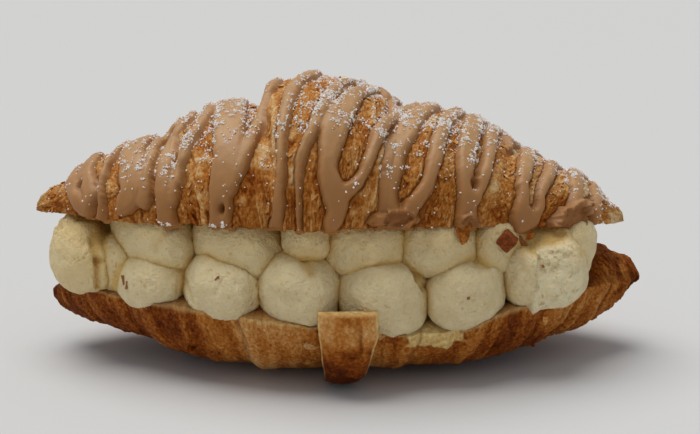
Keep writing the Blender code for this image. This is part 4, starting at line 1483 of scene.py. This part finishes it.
def make_caramel_bits(look):
    """Bits of the caramel that lie in the front of the cream."""
    box, faces = rounded_box()
    shapes = []
    for number, (name, x, z, sides, turn, _) in enumerate(CARAMEL_BITS):
        shaped = 0.5 * box * np.array([sides[0], sides[2], sides[1]])
        shaped = shaped * (1 + 0.3 * noise(shaped + 9.0 * number, 0.8, 165)[:, None])
        shaped = shaped @ np.array(Euler((0, math.radians(turn), 0)).to_matrix()).T
        shapes.append((shaped + np.array([x, surface_y(name, x, z), z]), faces))
    fields = {"pale": np.repeat([bit[-1] for bit in CARAMEL_BITS], len(box))}
    return add_mesh("caramel_bits", *merged(shapes), look, fields)


def random_turns(rng, count):
    """Random rotation matrices."""
    quaternions = rng.normal(size=(count, 4))
    w, x, y, z = (quaternions / np.linalg.norm(quaternions, axis=1, keepdims=True)).T
    return np.stack([
        np.stack([1 - 2 * (y * y + z * z), 2 * (x * y - w * z), 2 * (x * z + w * y)], axis=-1),
        np.stack([2 * (x * y + w * z), 1 - 2 * (x * x + z * z), 2 * (y * z - w * x)], axis=-1),
        np.stack([2 * (x * z - w * y), 2 * (y * z + w * x), 1 - 2 * (x * x + y * y)], axis=-1),
    ], axis=1)


def picked(rng, count, weight):
    """Numbers of so many points of a grid, picked at random by weight."""
    return rng.choice(weight.size, count, p=(weight / weight.sum()).ravel())


def make_sugar(look):
    """Grains of sugar, alone and in clusters, thickest near the crest."""
    rng = np.random.default_rng(5)
    count, around = SUGAR_GRID
    u, turned = roll_grid(TOP_TIPS, SUGAR_GRID, short=ICED_SHORT)
    smooth, outward, relief, _, _, inside = upper_fields(u, turned)
    iced = upper_sheet(u, turned, filled_relief) + outward * iced_height(inside, turned)[..., None]
    points = np.where((inside > 0.3)[..., None], iced, smooth + outward * relief[..., None])
    area = np.linalg.norm(np.cross(np.gradient(points, axis=0), np.gradient(points, axis=1)), axis=-1)
    drift = dust_over(points, outward)
    alone = picked(rng, SUGAR_GRAINS, area * (0.06 + drift**2) * np.clip(outward[..., 2] + 0.25, 0.0, 1))
    middles = picked(rng, CLUSTERS, area * drift**2 * (0.5 + ramp(1.2, 0.2, np.abs(inside))))
    members = np.repeat(middles, rng.poisson(CLUSTER_GRAINS, CLUSTERS))
    for heap_u, heap_turned, grains in SUGAR_HEAPS:
        row = int(np.argmin(np.abs(u - heap_u)))
        column = int(np.argmin(np.abs(turned - heap_turned)))
        members = np.append(members, np.full(grains, row * around + column))
    row, column = (
        place + np.rint(rng.normal(0, stray, len(members))).astype(int)
        for place, stray in zip(np.divmod(members, around), CLUSTER_SPREAD)
    )
    clustered = np.clip(row, 0, count - 1) * around + np.clip(column, 0, around - 1)
    chosen = np.concatenate([alone, clustered])
    places = points.reshape(-1, 3)[chosen] + SUGAR_LIFT * outward.reshape(-1, 3)[chosen]
    places = places + rng.normal(0, SUGAR_STRAY, places.shape)
    sizes = rng.uniform(*SUGAR_SIZES, len(places))
    turns = random_turns(rng, len(places))
    stretch = rng.uniform(0.5, 1.4, (len(places), 1, 3))
    shapes = (OCTAHEDRON * stretch) @ turns.transpose(0, 2, 1) * sizes[:, None, None]
    corners = (places[:, None, :] + shapes).reshape(-1, 3)
    faces = (OCTAHEDRON_FACES + 6 * np.arange(len(places))[:, None, None]).reshape(-1, 3)
    return add_mesh("sugar_grains", corners, faces, look, smooth=False)


def flake(middle, outward, length, width, lean, turn, seed, ragged=0.4):
    """One flake of skin with a ragged outline: its points in millimetres and its faces."""
    rows, columns = FLAKE_GRID
    a, b = np.meshgrid(np.linspace(-1, 1, rows), np.linspace(-1, 1, columns), indexing="ij")
    round_it = np.arctan2(b, a)
    outline = 1 + ragged * rough(stacked(np.cos(round_it), np.sin(round_it), 0), 0.9, 3, seed)
    along_it = 0.5 * length * a * outline
    across_it = 0.5 * width * b * outline * (1 - 0.2 * a * a - 0.4 * a)
    curl = 0.14 * width * (b * b + 0.6 * a) + 0.1 * noise(stacked(a, b, 0), 0.7, seed + 1)
    outward = outward / np.linalg.norm(outward)
    side = np.cross(outward, [0.0, 0.0, 1.0])
    side = side / max(np.linalg.norm(side), 1e-6)
    down = np.cross(outward, side)
    turn, lean = math.radians(turn), math.radians(lean)
    first = math.cos(turn) * side + math.sin(turn) * down
    second = np.cross(outward, first)
    tip = math.cos(lean) * first + math.sin(lean) * outward
    raised = np.cross(tip, second)
    face = middle + along_it[..., None] * tip + across_it[..., None] * second
    top, bottom = (face + (curl + sign * FLAKE_THICKNESS / 2)[..., None] * raised for sign in (1, -1))
    return shell(top, bottom, np.ones((rows - 1, columns - 1), bool))[:2]


def make_flakes(look):
    """Loose flakes of skin over the upper half, and the larger ones that stand off the crust."""
    rng = np.random.default_rng(21)
    u, turned = roll_grid(TOP_TIPS, FLAKE_PLACES, 0.99, (4.0, 4.0))
    smooth, outward, relief, tone, _, inside = upper_fields(u, turned)
    places = smooth + outward * relief[..., None]
    shapes, tones = [], []
    for number, index in enumerate(rng.choice(np.flatnonzero(inside < -0.9), FLAKES)):
        at = divmod(int(index), FLAKE_PLACES[1])
        length = rng.uniform(*FLAKE_SIZES)
        lean, turn = rng.uniform(*FLAKE_LEANS), rng.normal(*FLAKE_TURN)
        width = length * rng.uniform(*FLAKE_WIDTHS)
        middle = places[at] + FLAKE_LIFT * outward[at]
        shapes.append(flake(middle, outward[at], length, width, lean, turn, number))
        tones.append(tone[at] + FLAKE_PALER)
    for number, (middle, length, width, lean, turn, shade) in enumerate(BIG_FLAKES):
        away = np.array([0.004 * middle[0], -1.0, 0.1])
        shapes.append(flake(np.array(middle), away, length, width, lean, turn, 500 + number, 0.2))
        tones.append(shade)
    points, faces = merged(shapes)
    fields = {"tone": np.repeat(tones, [len(shape[0]) for shape in shapes]), "flow": points * 0.6}
    return add_mesh("crust_flakes", points, faces, look, fields)


# ---- stage ---------------------------------------------------------------------------------------


def add_floor():
    """A plain pale floor under everything."""
    bpy.ops.mesh.primitive_plane_add(size=60)
    floor = bpy.context.object
    floor.name = "floor"
    grey = {"Base Color": (*[FLOOR_GREY] * 3, 1), "Roughness": 0.9, "Specular IOR Level": 0.1}
    floor.data.materials.append(new_look("pale_floor", grey)[0])


def add_camera():
    """The camera a little above the croissant's crest, 0.39 m in front of it, looking 12 degrees down."""
    data = bpy.data.cameras.new("camera")
    data.sensor_width = 36
    data.lens = CAMERA_LENS
    data.clip_start = 0.01
    camera = bpy.data.objects.new("camera", data)
    camera.location = CAMERA_PLACE
    camera.rotation_euler = (math.pi / 2 - CAMERA_TILT, 0, 0)
    bpy.context.scene.collection.objects.link(camera)
    bpy.context.scene.camera = camera


def add_light():
    """Even pale light from all round, and a broad soft light from above."""
    world = bpy.data.worlds.new("studio")
    bpy.context.scene.world = world
    world.use_nodes = True
    background = world.node_tree.nodes["Background"]
    background.inputs["Color"].default_value = (*SKY_COLOUR, 1)
    background.inputs["Strength"].default_value = SKY_STRENGTH
    data = bpy.data.lights.new("window", "SUN")
    data.angle = SUN_BREADTH
    data.energy = SUN_STRENGTH
    data.color = SUN_COLOUR
    lamp = bpy.data.objects.new("window", data)
    lamp.rotation_euler = Vector(SUN_FROM).to_track_quat("Z", "Y").to_euler()
    bpy.context.scene.collection.objects.link(lamp)
    bpy.context.scene.view_settings.view_transform = "Standard"
    bpy.context.scene.view_settings.look = "None"


def clear_scene():
    """Takes away whatever is there at the start."""
    for obj in list(bpy.data.objects):
        bpy.data.objects.remove(obj, do_unlink=True)


def settle(piece, slot, *nodes):
    """Ties a piece to the body and hides the solids it stands for. The name of its finish is not used."""
    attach(piece, "root")
    if nodes:
        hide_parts(*nodes)


clear_scene()
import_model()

add_camera()
add_light()
add_floor()

crust = crust_look()
cream = cream_look()
icing = icing_look()
caramel = caramel_look()
sugar = sugar_look()

settle(make_upper_half(crust), "crust", "upper_half")
settle(make_lower_half(crust), "crust", "lower_half")
settle(make_tail(crust), "crust", "lower_half")
for index, swirl_name in enumerate(CREAM):
    settle(make_swirl(swirl_name, SWIRL_SEED + SWIRL_SEED_STEP * index, cream), "cream", swirl_name)
settle(make_caramel(caramel), "caramel", "caramel_cube")
settle(make_caramel_bits(caramel), "caramel")
settle(make_icing(icing), "icing")
settle(make_sugar(sugar), "sugar")
settle(make_flakes(crust), "crust")
